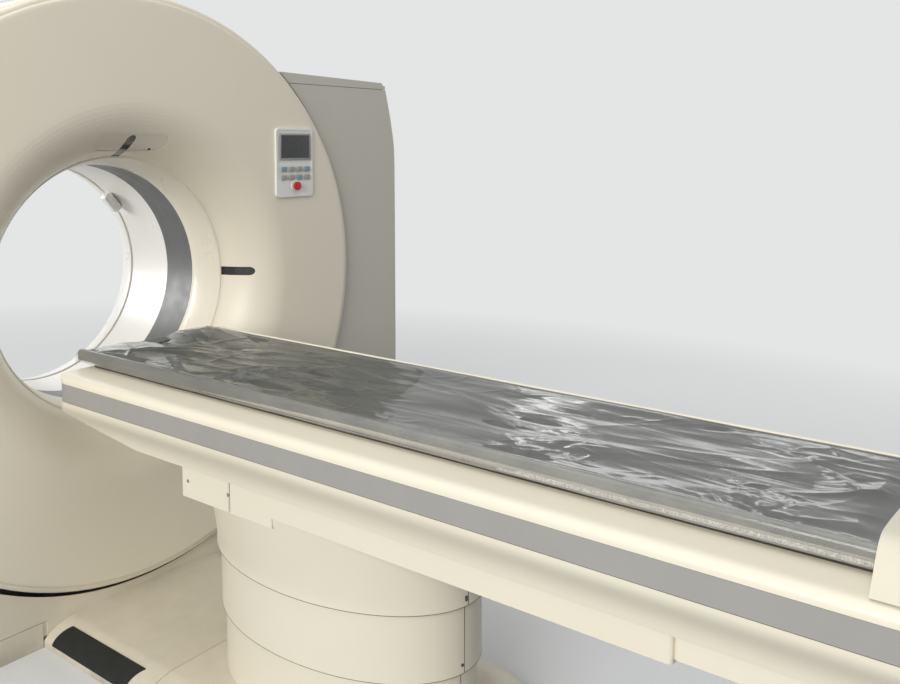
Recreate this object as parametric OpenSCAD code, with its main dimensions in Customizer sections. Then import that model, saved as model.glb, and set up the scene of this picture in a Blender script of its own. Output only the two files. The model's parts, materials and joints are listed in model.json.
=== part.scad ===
// CT scanner: a tilting ring gantry between two stands, and a patient table
// on a telescoping oval pedestal. Units are millimetres, +Z is up.
// The origin is the floor point below the isocentre. The bore axis runs along Y,
// the tilt axis runs along X, and the patient table lies on the -Y side.

/* [Gantry] */
// Outer radius of the round gantry unit
disc_r = 925; // [900:5:950]
// Height of the round unit's lowest point above the floor
floor_gap = 105; // [105:5:140]
// Radius of the patient bore
bore_r = 390; // [370:5:400]
// Radius where the flared mouth meets the flat front face
mouth_r = 600; // [580:5:640]
// Distance of the front face in front of the scan plane
front_d = 360; // [350:2:362]
// Distance of the rear face behind the scan plane
rear_d = 430; // [410:5:435]
// Wall thickness of the gantry covers
cover_t = 6; // [4:0.5:8]
// Width of the scan window around the scan plane
scan_w = 148; // [120:4:170]
// Wall thickness of the scan window and the rear liner
liner_t = 4; // [3:0.5:6]
// Width of the trim ring around the front face
trim_w = 17; // [14:1:22]
// Depth of the trim ring
trim_d = 42; // [36:2:50]
// First angle of the accent strip, from +X towards +Z
accent_a0 = 96; // [92:2:120]
// Last angle of the accent strip
accent_a1 = 158; // [130:2:170]
// Width of a control panel
panel_w = 180; // [140:5:190]
// Height of a control panel
panel_h = 250; // [200:5:280]
// Thickness of a control panel
panel_t = 9; // [8:1:12]
// Distance of the control panels' inner edges from the round unit's side
panel_in = 380; // [360:5:400]
// Distance of the control panels' top edge below the round unit's top
panel_drop = 411; // [400:2:440]
// Radius of an emergency stop button
stop_r = 15; // [12:1:18]
// Travel of an emergency stop button
stop_travel = 4; // [3:0.5:5]
// Width of a laser window
laser_w = 30; // [20:1:36]
// Length of a laser window along the bore
laser_l = 125; // [80:5:140]

/* [Tilt Frame and Rotor] */
// Front face of the tilt frame plate behind the scan plane
plate_y = 150; // [146:2:160]
// Thickness of the tilt frame plate
plate_t = 30; // [24:2:36]
// Radius of the trunnion pins
trunnion_r = 70; // [60:2:80]
// Radial space between the rotor drum and the gantry's rim
drum_gap = 155; // [150:5:165]
// Thickness of the rotor disc
drum_t = 26; // [20:2:30]
// Depth of the rotor rim
drum_rim_d = 60; // [50:2:70]
// Radial space between the bore and the gap in the main bearing
bearing_gap = 80; // [76:1:90]
// Radial width of each main bearing ring
bearing_w = 30; // [24:1:34]
// Radial space between the bore and the focal spot
focus_gap = 170; // [160:5:175]
// Radial space between the bore and the detector
detector_gap = 50; // [48:2:60]
// Half angle of the detector arc
detector_a = 27; // [24:1:30]
// Radius of the drive pulley
pulley_r = 36; // [30:1:40]
// Clearance between the rotor drum and the drive pulley
pulley_gap = 39; // [34:1:44]
// Thickness of the drive belt
belt_t = 4; // [3:0.5:5]
// Width of the drive belt
belt_w = 30; // [24:2:34]

/* [Stands] */
// Front face of the stands before the scan plane
stand_front = 328; // [326:1:332]
// Rear face of the stands behind the scan plane
stand_rear = 420; // [400:5:430]
// Width by which a stand reaches beyond the round gantry unit
stand_w = 343; // [331:2:365]
// How far the stands lean in at the top
stand_lean_top = 92; // [60:2:110]
// How far the stands lean in at the floor
stand_lean_low = 60; // [30:2:80]
// Height above the bore axis at which the stands are widest
stand_wide = 150; // [100:10:200]
// Height of the stand covers' upper seam above the bore axis
cap_up = 682; // [660:2:690]
// Height of the caps above that seam, at their inner end
cap_h = 40; // [32:1:50]
// Drop of the caps towards their outer end
cap_drop = 13; // [5:1:20]
// Wall thickness of the stand covers
stand_t = 5; // [4:0.5:7]
// Clearance round the space in which the gantry unit tilts
swing_gap = 3.4; // [2:0.2:6]
// Height of the toe seam
toe_z = 77; // [70:1:84]
// Half width of the plinth between the stands
plinth_x = 638; // [600:2:700]
// Front face of the plinth before the scan plane
plinth_front = 320; // [316:1:324]
// Thickness of the base plate
base_t = 30; // [24:1:32]
// Radius of the floor anchor holes
anchor_r = 9; // [7:0.5:11]
// Space between the round gantry unit and the stand frames
post_gap = 85; // [79:2:95]
// Thickness of the stand frames along X
post_t = 80; // [70:2:90]

/* [Floor Covers] */
// Half width of the bridge cover between gantry and table
bridge_x = 350; // [320:5:370]
// Height of the bridge cover at its middle
bridge_z = 65; // [60:1:72]
// Width of the bridge cover's sloping sides
bridge_slope = 98; // [80:2:110]
// Height of the bridge cover's upright kick edge
kick_z = 20; // [14:1:26]
// Distance from the scan plane to the seam by the pedestal
bridge_end = 808; // [804:1:812]
// Thickness of the floor covers
floor_t = 4; // [3:0.5:6]
// Thickness of the anti-slip pads
pad_t = 2; // [1.5:0.5:4]
// Length of the anti-slip pads
pad_l = 375; // [300:5:380]
// Width of the anti-slip pads, seen from above
pad_w = 61; // [50:1:70]

/* [Pedestal] */
// Distance of the pedestal's middle from the scan plane
ped_y = 1214; // [1200:2:1230]
// Half width of the upper pedestal section
ped_a = 250; // [240:2:260]
// Half length of the upper pedestal section
ped_b = 420; // [400:5:430]
// Step between the pedestal sections
ped_step = 11; // [9:0.5:14]
// Wall thickness of the pedestal sections
ped_t = 5; // [4:0.5:7]
// Height of the upper pedestal section
section_h = 202; // [192:2:212]
// Height of the middle pedestal section's visible part
section_mid_h = 170; // [160:2:176]
// Lowest table travel, as a distance
lift_down = 280; // [200:5:280]
// Highest table travel
lift_up = 25; // [10:5:25]
// Width of the outer mast across the table
mast_w = 200; // [180:4:220]
// Length of the outer mast along the table
mast_l = 260; // [240:4:300]
// Wall thickness of the mast tubes
mast_t = 8; // [6:0.5:10]
// Radius of the lift piston rod
rod_r = 25; // [20:1:30]

/* [Carrier] */
// Half width of the table carrier
car_x = 340; // [330:2:350]
// Distance of the carrier's head end from the scan plane
car_head = 400; // [396:2:420]
// Distance of the carrier's foot end from the scan plane
car_foot = 2760; // [2740:10:2800]
// Distance of the carrier's top face below the bore axis
car_drop = 191; // [188:1:194]
// Radius of the carrier's rounded top edge
car_edge = 22; // [14:1:24]
// Height of the grey side band
band_h = 52; // [44:1:56]
// Wall thickness of the carrier covers
car_t = 4; // [3:0.5:6]
// Half width of the carrier at its lower seam
car_low_x = 294; // [290:1:300]
// Height of the carrier above its lower seam
car_h = 172; // [167:1:177]
// Height of the under box below the lower seam
box_h = 55; // [48:1:60]
// Extra depth of the under box at its head end
box_deep = 24; // [16:1:28]
// Half width of the under box
box_x = 288; // [282:1:290]
// Distance of the under box's head end from the scan plane
box_head = 913; // [905:2:925]
// Distance of the seam in the under box from the scan plane
box_seam = 1100; // [1090:5:1120]
// Distance of the step in the under box from the scan plane
box_step = 2246; // [2200:5:2280]

/* [Tabletop] */
// Half width of the tabletop
top_x = 240; // [230:2:246]
// Distance of the tabletop's head end from the scan plane
top_head = 372; // [370:1:380]
// Distance of the tabletop's foot end from the scan plane
top_foot = 2800; // [2780:10:2840]
// Height of the tabletop's rim above its underside
top_h = 40; // [36:1:44]
// Thickness of the tabletop at its middle
top_t = 8; // [6:0.5:12]
// Thickness of the mattress at its middle
mat_t = 17; // [12:1:24]
// Distance from the scan plane to the end grip
grip_y = 2552; // [2530:2:2580]
// Height of the end grip
grip_h = 70; // [60:2:74]
// Half width of the end grip at its foot
grip_x = 324; // [310:2:330]
// Travel of the tabletop into the bore
slide_in = 1600; // [1200:50:1600]
// Distance of the slide rails from the middle
rail_x = 150; // [120:5:170]
// Width of a slide rail
rail_w = 30; // [20:2:36]

/* [Fits] */
// Gap between pieces that sit next to each other
fit = 0.3; // [0.3:0.05:0.5]
// Visible gap at the cover seams
seam = 2.4; // [2:0.2:4]
// Running clearance of pins in bores
run_fit = 0.05; // [0.03:0.01:0.1]
// Thickness of the tongues behind the seams
tongue_t = 3; // [2.5:0.5:4]

/* [Hidden] */
$fn = 96;
far = 4000;
iso_z = disc_r + floor_gap;
swing_r = norm([disc_r, front_d]) + swing_gap;
drum_r = disc_r - drum_gap;
bearing_r = bore_r + bearing_gap;
focus_r = bore_r + focus_gap;
detector_r = focus_r + bore_r + detector_gap;
pulley_d = drum_r + pulley_r + pulley_gap;
post_x = disc_r + post_gap;
stand_x = disc_r + stand_w;
stand_wide_z = iso_z + stand_wide;
cap_z = iso_z + cap_up;
car_z = iso_z - car_drop;
car_low_z = car_z - car_h;
box_z = car_low_z - box_h;
seam_hi = box_z - section_h;
seam_lo = seam_hi - section_mid_h;
cream = [0.86, 0.83, 0.74];
pale = [0.93, 0.92, 0.88];
grey = [0.55, 0.55, 0.56];
steel = [0.45, 0.47, 0.5];
dark = [0.22, 0.24, 0.25];

// A point on a cubic curve, its direction, and a point beside it at distance d
function bz(p, t) = pow(1 - t, 3) * p[0] + 3 * pow(1 - t, 2) * t * p[1]
  + 3 * (1 - t) * t * t * p[2] + pow(t, 3) * p[3];
function bz_dir(p, t) = pow(1 - t, 2) * (p[1] - p[0]) + 2 * (1 - t) * t * (p[2] - p[1])
  + t * t * (p[3] - p[2]);
function beside(p, t, d) = let (v = bz_dir(p, t)) bz(p, t) + d * [v[1], -v[0]] / norm(v);
function curve(p, d = 0, n = 20) = [for (i = [0:n]) beside(p, i / n, d)];
function back(a) = [for (i = [len(a) - 1:-1:0]) a[i]];
function flip_x(a) = [for (p = back(a)) [-p[0], p[1]]];
function oval(a, b, n = 96) = [for (i = [0:n - 1]) [a * cos(i * 360 / n), b * sin(i * 360 / n)]];

// Turns a profile of radius and depth about the bore axis
module revolve(points) {
  translate([0, 0, iso_z]) rotate([-90, 0, 0]) rotate_extrude($fn = 240) polygon(points);
}
module ring(r_in, r_out, y0, y1) {
  revolve([[r_in, y0], [r_out, y0], [r_out, y1], [r_in, y1]]);
}
// Places its children at an angle about the bore axis, with +X pointing outwards
module at_ring(a) {
  translate([0, 0, iso_z]) rotate([0, -a, 0]) children();
}
// Extrudes a flat shape drawn in X and Z along Y
module along_y(y0, y1) {
  translate([0, y1, 0]) rotate([90, 0, 0]) linear_extrude(y1 - y0) children();
}
// Extrudes a flat shape drawn in Y and Z along X
module along_x(x0, x1) {
  translate([x0, 0, 0]) rotate([90, 0, 90]) linear_extrude(x1 - x0) children();
}
module block(x0, x1, y0, y1, z0, z1) {
  translate([x0, y0, z0]) cube([x1 - x0, y1 - y0, z1 - z0]);
}
module oblong(w, l) {
  square([w, l - w], center = true);
  for (s = [-1, 1]) translate([0, s * (l - w) / 2]) circle(w / 2);
}
module rounded(w, h, r) {
  square([w - 2 * r, h], center = true);
  square([w, h - 2 * r], center = true);
  for (x = [-1, 1], y = [-1, 1]) translate([x * (w / 2 - r), y * (h / 2 - r)]) circle(r);
}
module swing_space() {
  translate([0, 0, iso_z]) sphere(swing_r, $fn = 180);
}

// Gantry unit: front cover and what is set in it
front_y = -front_d;
face_r = disc_r - trim_w;
face_bend = 16;
face_set = 7;
window_front = -scan_w / 2;
mouth_pull = 65;
lip_pull = 15;
lip_y = -210;
mouth = [
  [mouth_r, front_y],
  [bore_r + mouth_pull, front_y],
  [bore_r + lip_pull, lip_y],
  [bore_r + 0.6, window_front - 3 * fit]
];
trim_front = front_y + face_set;
trim_back = trim_front + trim_d;
edge_curve = [
  [face_r, trim_front],
  [face_r, front_y + 2],
  [face_r - face_bend / 3, front_y],
  [face_r - face_bend, front_y]
];
function front_skin(d) = concat(curve(edge_curve, d, 6), curve(mouth, d, 28));
module front_shell(d0, d1) {
  revolve(concat(front_skin(d0), back(front_skin(d1))));
}
laser_y = -190 - laser_l / 2;
status_w = 260;
status_h = 50;
status_z = iso_z + bore_r + 72;
module laser_cut(gap) {
  for (a = [0, 90, 180]) {
    at_ring(a) translate([bore_r, laser_y, 0]) rotate([0, 90, 0])
      linear_extrude(mouth_r - bore_r) oblong(laser_w + 2 * gap, laser_l + 2 * gap);
  }
}
module status_cut(gap) {
  translate([0, 0, status_z]) along_y(-front_d - 1, -front_d / 2)
    rotate(90) oblong(status_h + 2 * gap, status_w + 2 * gap);
}
module front_cover() {
  color(cream) {
    difference() {
      front_shell(0, cover_t);
      laser_cut(fit);
      status_cut(fit);
    }
    ring(face_r - cover_t, face_r, trim_front, trim_back);
  }
}
module laser_windows() {
  color(dark) intersection() {
    front_shell(1, cover_t);
    laser_cut(0);
  }
}
module status_panel() {
  color(pale) difference() {
    intersection() {
      front_shell(1, cover_t);
      status_cut(0);
    }
    laser_cut(fit);
  }
}
trim_round = 13;
module rim_trim() {
  inner = face_r + fit;
  nose = [
    [disc_r, trim_front + trim_round],
    [disc_r, trim_front + trim_round / 3],
    [disc_r - trim_round / 2, trim_front],
    [disc_r - trim_round, trim_front]
  ];
  color(cream) difference() {
    revolve(concat(curve(nose, 0, 8), [[inner, trim_front], [inner, trim_back], [disc_r, trim_back]]));
    accent_shape(fit);
  }
}
accent_w = 8;
accent_t = 2;
// A strip let into the trim ring over part of its round
module accent_shape(gap) {
  w = accent_w + 2 * gap;
  y0 = trim_front + trim_round + 2 - gap;
  intersection() {
    ring(disc_r - accent_t - gap, disc_r + gap, y0, y0 + w);
    translate([0, 0, iso_z]) along_y(-front_d, 0) polygon(concat([[0, 0]],
      [for (i = [0:8]) let (a = accent_a0 + i * (accent_a1 - accent_a0) / 8)
        2 * disc_r * [cos(a), sin(a)]]));
  }
}
module accent_strip() {
  color([0.85, 0.38, 0.33]) intersection() {
    accent_shape(0);
    ring(bore_r, disc_r, front_y, 0);
  }
}
band_back = 292;
module side_band() {
  color(cream) difference() {
    ring(disc_r - cover_t, disc_r, trim_back + fit, band_back);
    along_x(-disc_r - 9, disc_r + 9) translate([0, iso_z]) circle(trunnion_r + 12);
  }
}
rear_round = 84;
rear_flare = [
  [bore_r + 0.6, band_back],
  [bore_r + 0.6, rear_d - 70],
  [bore_r + 25, rear_d],
  [bore_r + 100, rear_d]
];
rear_edge = [
  [disc_r - rear_round, rear_d],
  [disc_r - rear_round / 2, rear_d],
  [disc_r - 8, rear_d - 40],
  [disc_r - fit, band_back + 4 * fit]
];
function rear_skin(d) = concat(curve(rear_flare, d, 14), curve(rear_edge, d, 14));
module rear_cover() {
  color(cream) revolve(concat(rear_skin(0), back(rear_skin(cover_t))));
}
module scan_window() {
  color(dark) ring(bore_r, bore_r + liner_t, window_front, -window_front);
}
module rear_liner() {
  color(pale) ring(bore_r, bore_r + liner_t, -window_front + fit, band_back - fit);
}
pod_r = 350;
pod_w = 84;
pod_l = 48;
pod_a = 40;
module bore_pod() {
  color(pale) intersection() {
    at_ring(pod_a) translate([pod_r, band_back - pod_l / 2 - 4, 0]) rotate([0, 90, 0])
      linear_extrude(bore_r - pod_r) rounded(pod_w, pod_l, 12);
    ring(0, bore_r - fit, 0, rear_d);
  }
}

// Control panels with their emergency stop buttons
panel_mid = disc_r - panel_in + panel_w / 2;
panel_z = iso_z + disc_r - panel_drop - panel_h / 2;
stop_z = panel_z - panel_h / 2 + 40;
stem_r = 6;
panel_rim = 7;
module control_panel(side) {
  color(pale) translate([side * panel_mid, 0, 0]) difference() {
    union() {
      translate([0, 0, panel_z]) along_y(front_y - panel_t, front_y) rounded(panel_w, panel_h, 14);
      translate([0, 0, stop_z]) along_y(front_y - panel_t - 3, front_y) circle(stop_r + 5);
    }
    translate([0, 0, panel_z + 28]) along_y(front_y - panel_t - 1, front_y - panel_t + 2)
      rounded(panel_w - 2 * panel_rim, panel_h - 2 * panel_rim - 56, 9);
    translate([0, 0, stop_z]) along_y(front_y - far / 100, front_y - 1) circle(stem_r + run_fit);
  }
}
module stop_button(side) {
  cap_y = front_y - panel_t - 3 - stop_travel - fit;
  color([0.72, 0.12, 0.1]) translate([side * panel_mid, 0, stop_z]) {
    along_y(cap_y - 9, cap_y) circle(stop_r);
    along_y(cap_y - 12, cap_y - 9) circle(stop_r - 3);
    along_y(cap_y, front_y - 1 - stop_travel - fit) circle(stem_r);
  }
}
module left_control_panel() { control_panel(-1); }
module right_control_panel() { control_panel(1); }
module left_stop_button() { stop_button(-1); }
module right_stop_button() { stop_button(1); }

// Tilt frame: a ring plate with side arms and trunnion pins
plate_r = disc_r - cover_t - fit;
plate_in = bore_r + 50;
arm_x0 = drum_r + 60;
arm_x1 = disc_r - 31;
arm_h = 130;
pin_end = post_x + post_t + 10;
module tilt_frame() {
  color(steel) difference() {
    union() {
      ring(plate_in, plate_r, plate_y, plate_y + plate_t);
      ring(plate_in, plate_in + 20, plate_y, plate_y + plate_t + 60);
      for (s = [-1, 1]) {
        along_x(s > 0 ? arm_x0 : -arm_x1, s > 0 ? arm_x1 : -arm_x0)
          polygon([[-95, iso_z - arm_h / 2], [-95, iso_z + arm_h / 2],
            [plate_y + 1, iso_z + arm_h], [plate_y + 1, iso_z - arm_h]]);
        along_x(s > 0 ? arm_x1 - 1 : -pin_end, s > 0 ? pin_end : 1 - arm_x1)
          translate([0, iso_z]) circle(trunnion_r);
      }
    }
    at_ring(motor_a) translate([pulley_d, 0, 0]) along_y(0, rear_d) circle(shaft_r + run_fit);
  }
}
module main_bearing_outer() {
  color(grey) ring(bearing_r + fit, bearing_r + bearing_w, disc_back + fit, plate_y);
}
module main_bearing_inner() {
  color(grey) ring(bearing_r - bearing_w, bearing_r, disc_back, plate_y - fit);
}
disc_back = plate_y - 32;
disc_front = disc_back - drum_t;
drum_in = bearing_r - bearing_w - 4;
slip_in = drum_in + 124;
module rotor_drum() {
  color(steel) union() {
    ring(drum_in, drum_r, disc_front, disc_back);
    ring(drum_r - 24, drum_r, disc_back - drum_rim_d, disc_back);
  }
}
module slip_ring() {
  color([0.72, 0.5, 0.3]) difference() {
    ring(slip_in, slip_in + 80, disc_back, disc_back + 12);
    for (i = [0:3]) {
      r = slip_in + 12 + 18 * i;
      ring(r, r + 6, disc_back + 9, disc_back + 13);
    }
  }
}
module brush_block() {
  color(dark) at_ring(200) block(slip_in + 6, slip_in + 74, disc_back + 12 + fit, plate_y, -55, 55);
}
// Motor, pulley and belt that turn the rotor
motor_a = -45;
shaft_r = 14;
belt_mid = disc_back - drum_rim_d / 2;
module rotor_motor() {
  y0 = plate_y + plate_t;
  color(dark) at_ring(motor_a) translate([pulley_d, 0, 0]) difference() {
    union() {
      along_y(y0, y0 + 12) circle(62);
      along_y(y0 + 12, y0 + 96) circle(54);
    }
    along_y(y0 - 1, y0 + 60) circle(shaft_r + run_fit);
  }
}
module drive_pulley() {
  y0 = belt_mid - belt_w / 2;
  color(steel) at_ring(motor_a) translate([pulley_d, 0, 0]) {
    along_y(y0 - 4, y0 + belt_w + 4) circle(pulley_r);
    along_y(y0 - 8, y0 - 4) circle(pulley_r + 8);
    along_y(y0 + belt_w + 4, y0 + belt_w + 8) circle(pulley_r + 8);
    along_y(y0 + belt_w + 7, plate_y + plate_t + 55) circle(shaft_r);
  }
}
belt_gap = 0.9;
// Outline of the belt round the drum and the pulley, at a distance from both
function belt_line(g) = let (
  big = drum_r + g,
  small = pulley_r + g,
  a = acos((big - small) / pulley_d)
) concat(
  [for (i = [0:150]) let (t = a + i * (360 - 2 * a) / 150) big * [cos(t), sin(t)]],
  [for (i = [0:16]) let (t = -a + i * 2 * a / 16) [pulley_d + small * cos(t), small * sin(t)]]
);
module drive_belt() {
  color(dark) at_ring(motor_a) along_y(belt_mid - belt_w / 2, belt_mid + belt_w / 2) difference() {
    polygon(belt_line(belt_gap + belt_t));
    polygon(belt_line(belt_gap));
  }
}

// What the rotor carries
tube_r = 92;
tube_d = focus_r + 60;
load_in = drum_in + 54;
load_out = drum_r - 55;
load_w = 150;
module xray_tube() {
  color(grey) at_ring(90) translate([tube_d, 0, 0]) {
    along_y(-110, disc_front) circle(tube_r);
    along_y(-140, -109) circle(tube_r - 28);
    along_y(-60, 40) translate([-tube_r - 8, -50]) square([tube_r, 100]);
  }
}
module collimator() {
  x1 = tube_d - tube_r - 8 - fit;
  color(steel) at_ring(90) difference() {
    along_y(-62, disc_front) polygon([[x1, -70], [x1, 70], [drum_in + 24, 150], [drum_in + 24, -150]]);
    along_y(-8, 8) polygon([[tube_d, -10], [tube_d, 10], [bore_r, 130], [bore_r, -130]]);
  }
}
module hv_generator() {
  color(pale) at_ring(152) {
    block(load_in, load_out, -112, disc_front, -load_w, load_w);
    for (s = [-1, 1]) translate([0, 0, s * load_w * 0.57])
      block(load_in + 20, load_out - 15, -122, -111, -load_w * 0.3, load_w * 0.3);
  }
}
module tube_cooler() {
  color(grey) at_ring(28) difference() {
    block(load_in, load_out, -105, disc_front, -load_w, load_w);
    for (i = [0:9]) translate([0, 0, (i - 4.5) * load_w * 0.19])
      block(load_in + 10, load_out - 10, -106, -60, -7, 7);
  }
}
detector_t = 66;
module detector_arc() {
  color(steel) translate([0, 0, iso_z + focus_r]) {
    difference() {
      intersection() {
        along_y(-70, disc_front) circle(detector_r + detector_t);
        along_y(-71, disc_front + 1) polygon([[0, 0],
          2 * detector_r * [sin(detector_a), -cos(detector_a)],
          2 * detector_r * [-sin(detector_a), -cos(detector_a)]]);
      }
      along_y(-71, disc_front + 1) circle(detector_r);
      for (i = [-8:8]) rotate([0, i * 3, 0])
        block(-12, 12, -71, -40, -detector_r - detector_t - 1, -detector_r - 20);
    }
  }
}
weight_in = detector_r + detector_t - focus_r + 84;
module counterweights() {
  color(dark) for (a = [200, 340, 270]) at_ring(a)
    block(weight_in, load_out - 15, -40, disc_front, -110, 110);
}

// Base, stands and plinth
foot_x = post_x + 165;
base_x = stand_x - stand_lean_low - stand_t - fit;
plinth_back = -plinth_front + stand_t - 1 + tongue_t + 2 * fit;
anchor_x = post_x + 120;
anchor_y = stand_front - 48;
table_base_t = 20;
table_base_x = ped_a - 25;
table_base_end = ped_y + ped_b + 6;
table_anchor_x = table_base_x - 40;
table_anchor_y = ped_b - 60;
rib_x = plinth_x - 38;
module anchor_points(gap, z0, z1) {
  for (x = [-anchor_x, anchor_x], y = [-anchor_y, anchor_y]) translate([x, y, z0])
    cylinder(h = z1 - z0, r = anchor_r + gap);
}
module table_anchor_points(gap, z0, z1) {
  for (x = [-table_anchor_x, table_anchor_x], y = [-table_anchor_y, table_anchor_y])
    translate([x, y - ped_y, z0]) cylinder(h = z1 - z0, r = anchor_r + gap);
}
module base_frame() {
  color(steel) difference() {
    union() {
      for (s = [0, 1]) mirror([s, 0, 0]) linear_extrude(base_t) intersection() {
        stand_plan(stand_t + fit);
        union() {
          translate([plinth_x + 12, -far]) square([base_x - plinth_x - 12, 2 * far]);
          translate([-1, plinth_back]) square([plinth_x + 14, far]);
        }
      }
      for (s = [-1, 1]) translate([s * rib_x, 0, 0])
        block(-25, 25, plinth_back + 8, stand_rear - 30, base_t - 1, base_t + 60);
    }
    anchor_points(0, -1, base_t + 1);
    swing_space();
  }
}
hub_r = 125;
post_web = 24;
module post_outline(inset) {
  z = base_t + 20 + inset;
  x = hub_r - 15 - inset;
  polygon([[-stand_front + 78 + inset, z], [stand_rear - 90 - inset, z], [x, iso_z - 40], [-x, iso_z - 40]]);
}
module stand_frame(side) {
  color(steel) mirror([side < 0 ? 1 : 0, 0, 0]) difference() {
    union() {
      along_x(post_x, post_x + post_web) {
        post_outline(0);
        translate([0, iso_z]) circle(hub_r);
      }
      along_x(post_x, post_x + post_t) difference() {
        post_outline(0);
        post_outline(22);
      }
      along_x(post_x, post_x + post_t) translate([0, iso_z]) circle(hub_r);
      block(post_x - 10, foot_x, -stand_front + 16, stand_rear - 70, base_t, base_t + 22);
    }
    along_x(post_x - 1, post_x + post_t + 1) translate([0, iso_z]) circle(trunnion_r + run_fit);
    along_x(post_x - 1, post_x + post_t + 1) translate([0, iso_z / 2 + 45]) circle(90);
    anchor_points(15, base_t - 1, base_t + 40);
  }
}
module left_stand_frame() { stand_frame(-1); }
module right_stand_frame() { stand_frame(1); }
module tilt_gearmotor() {
  x0 = post_x + post_t;
  color(dark) difference() {
    union() {
      along_x(x0, x0 + 80) translate([0, iso_z]) circle(hub_r - 5);
      block(x0 + 12, x0 + 80, -70, 70, iso_z - 320, iso_z);
    }
    along_x(x0 - 1, x0 + 12) translate([0, iso_z]) circle(trunnion_r + 1);
  }
}
// Half width of the stand covers at height z
function lean_x(z) = stand_x - (z > stand_wide_z
  ? stand_lean_top * pow((z - stand_wide_z) / (cap_z + cap_h - stand_wide_z), 2)
  : stand_lean_low * pow((stand_wide_z - z) / stand_wide_z, 2));
function lean_line(z0, z1, d, n) = [for (i = [0:n]) let (z = z0 + i * (z1 - z0) / n) [lean_x(z) - d, z]];
stand_in = plinth_x + 2;
lean_gap = 1.2;
stand_corner = 34;
rear_corner = 110;
module stand_plan(d) {
  y0 = -stand_front + d;
  y1 = stand_rear - d;
  x1 = stand_x - d;
  front_r = stand_corner - d;
  rear_r = rear_corner - d;
  translate([0, y0 + front_r]) square([x1, y1 - y0 - front_r - rear_r]);
  translate([0, y0]) square([x1 - front_r, y1 - y0 - rear_r]);
  square([x1 - rear_r, y1]);
  translate([x1 - front_r, y0 + front_r]) circle(front_r);
  translate([x1 - rear_r, y1 - rear_r]) circle(rear_r);
}
module stand_solid(z0, z1, d, x0) {
  intersection() {
    along_y(-far, far) polygon(concat([[x0, z1], [x0, z0]], lean_line(z0, z1, d, 14)));
    translate([0, 0, z0]) linear_extrude(z1 - z0) stand_plan(d);
  }
}
// A wall between two depths below the outer skin
module stand_wall(z0, z1, d0, d1, x0) {
  difference() {
    stand_solid(z0, z1, d0, x0);
    stand_solid(z0 - 1, z1 + 1, d1, -1);
    swing_space();
  }
}
module handed(side) {
  mirror([side < 0 ? 1 : 0, 0, 0]) children();
}
module stand_cover(side) {
  lap = stand_t + lean_gap;
  color([0.72, 0.71, 0.67]) handed(side) {
    stand_wall(toe_z + seam / 2, cap_z - seam / 2, 0, stand_t, stand_in);
    stand_wall(toe_z + seam / 2, toe_z + seam / 2 + 20, stand_t - 1, lap + tongue_t, stand_in + lap);
    stand_wall(toe_z - 14, toe_z + seam / 2 + 20, lap, lap + tongue_t, stand_in + lap);
  }
}
module left_stand_cover() { stand_cover(-1); }
module right_stand_cover() { stand_cover(1); }
cap_in = 560;
cap_round = 12;
module cap_outline(d) {
  z1 = cap_z + cap_h;
  x1 = lean_x(z1) - d;
  polygon([[cap_in, cap_z - 30], [lean_x(cap_z) + 40, cap_z - 30], [x1 + 40, z1 - cap_drop - cap_round],
    [x1, z1 - cap_drop - cap_round], [x1 - cap_round, z1 - cap_drop - d],
    [cap_in, z1 - d]]);
}
module stand_cap(side) {
  z0 = cap_z + seam / 2;
  z1 = cap_z + cap_h + 1;
  color([0.74, 0.73, 0.69]) handed(side) difference() {
    union() {
      intersection() {
        stand_solid(z0, z1, 0, cap_in);
        along_y(-far, far) cap_outline(0);
      }
      stand_solid(cap_z - 14, z0 + 4, stand_t + lean_gap, cap_in);
    }
    intersection() {
      stand_solid(cap_z - 15, z1, stand_t + lean_gap + tongue_t, -1);
      along_y(-far, far) cap_outline(stand_t);
    }
    swing_space();
  }
}
module left_stand_cap() { stand_cap(-1); }
module right_stand_cap() { stand_cap(1); }
toe_in = bridge_x + 2;
module toe_cover(side) {
  color(cream) handed(side) difference() {
    stand_solid(0, toe_z - seam / 2, 0, toe_in);
    stand_solid(-1, toe_z, stand_t, -1);
    block(0, stand_in - 1 + fit, 0, far / 2, -1, far / 2);
    block(0, plinth_x, -far, -plinth_front, -1, far / 2);
  }
  color(cream) handed(side) {
    block(toe_in, plinth_x + 1, -plinth_front, -plinth_front + stand_t - 1, 0, toe_z - seam / 2);
    block(plinth_x, plinth_x + 6, -stand_front + 1, -plinth_front + stand_t - 1, 0, toe_z - seam / 2);
  }
}
module toe_covers() {
  toe_cover(-1);
  toe_cover(1);
}
module plinth_front_cover() {
  y0 = -plinth_front;
  lap_y = y0 + stand_t - 1 + fit;
  color(cream) difference() {
    union() {
      block(-plinth_x, plinth_x, y0, y0 + stand_t - 1, toe_z + seam / 2, iso_z);
      block(-plinth_x, plinth_x, y0 + stand_t - 2, lap_y + tongue_t, toe_z + seam / 2, toe_z + 22);
      block(-plinth_x, plinth_x, lap_y, lap_y + tongue_t, base_t, toe_z + 22);
      block(-bridge_x + 12, bridge_x - 12, y0, lap_y + 1, base_t, toe_z + seam);
    }
    swing_space();
  }
}
module plinth_rear_cover() {
  color(cream) difference() {
    block(1 - stand_in, stand_in - 1, stand_rear - stand_t, stand_rear, 0, iso_z);
    swing_space();
  }
}

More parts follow.
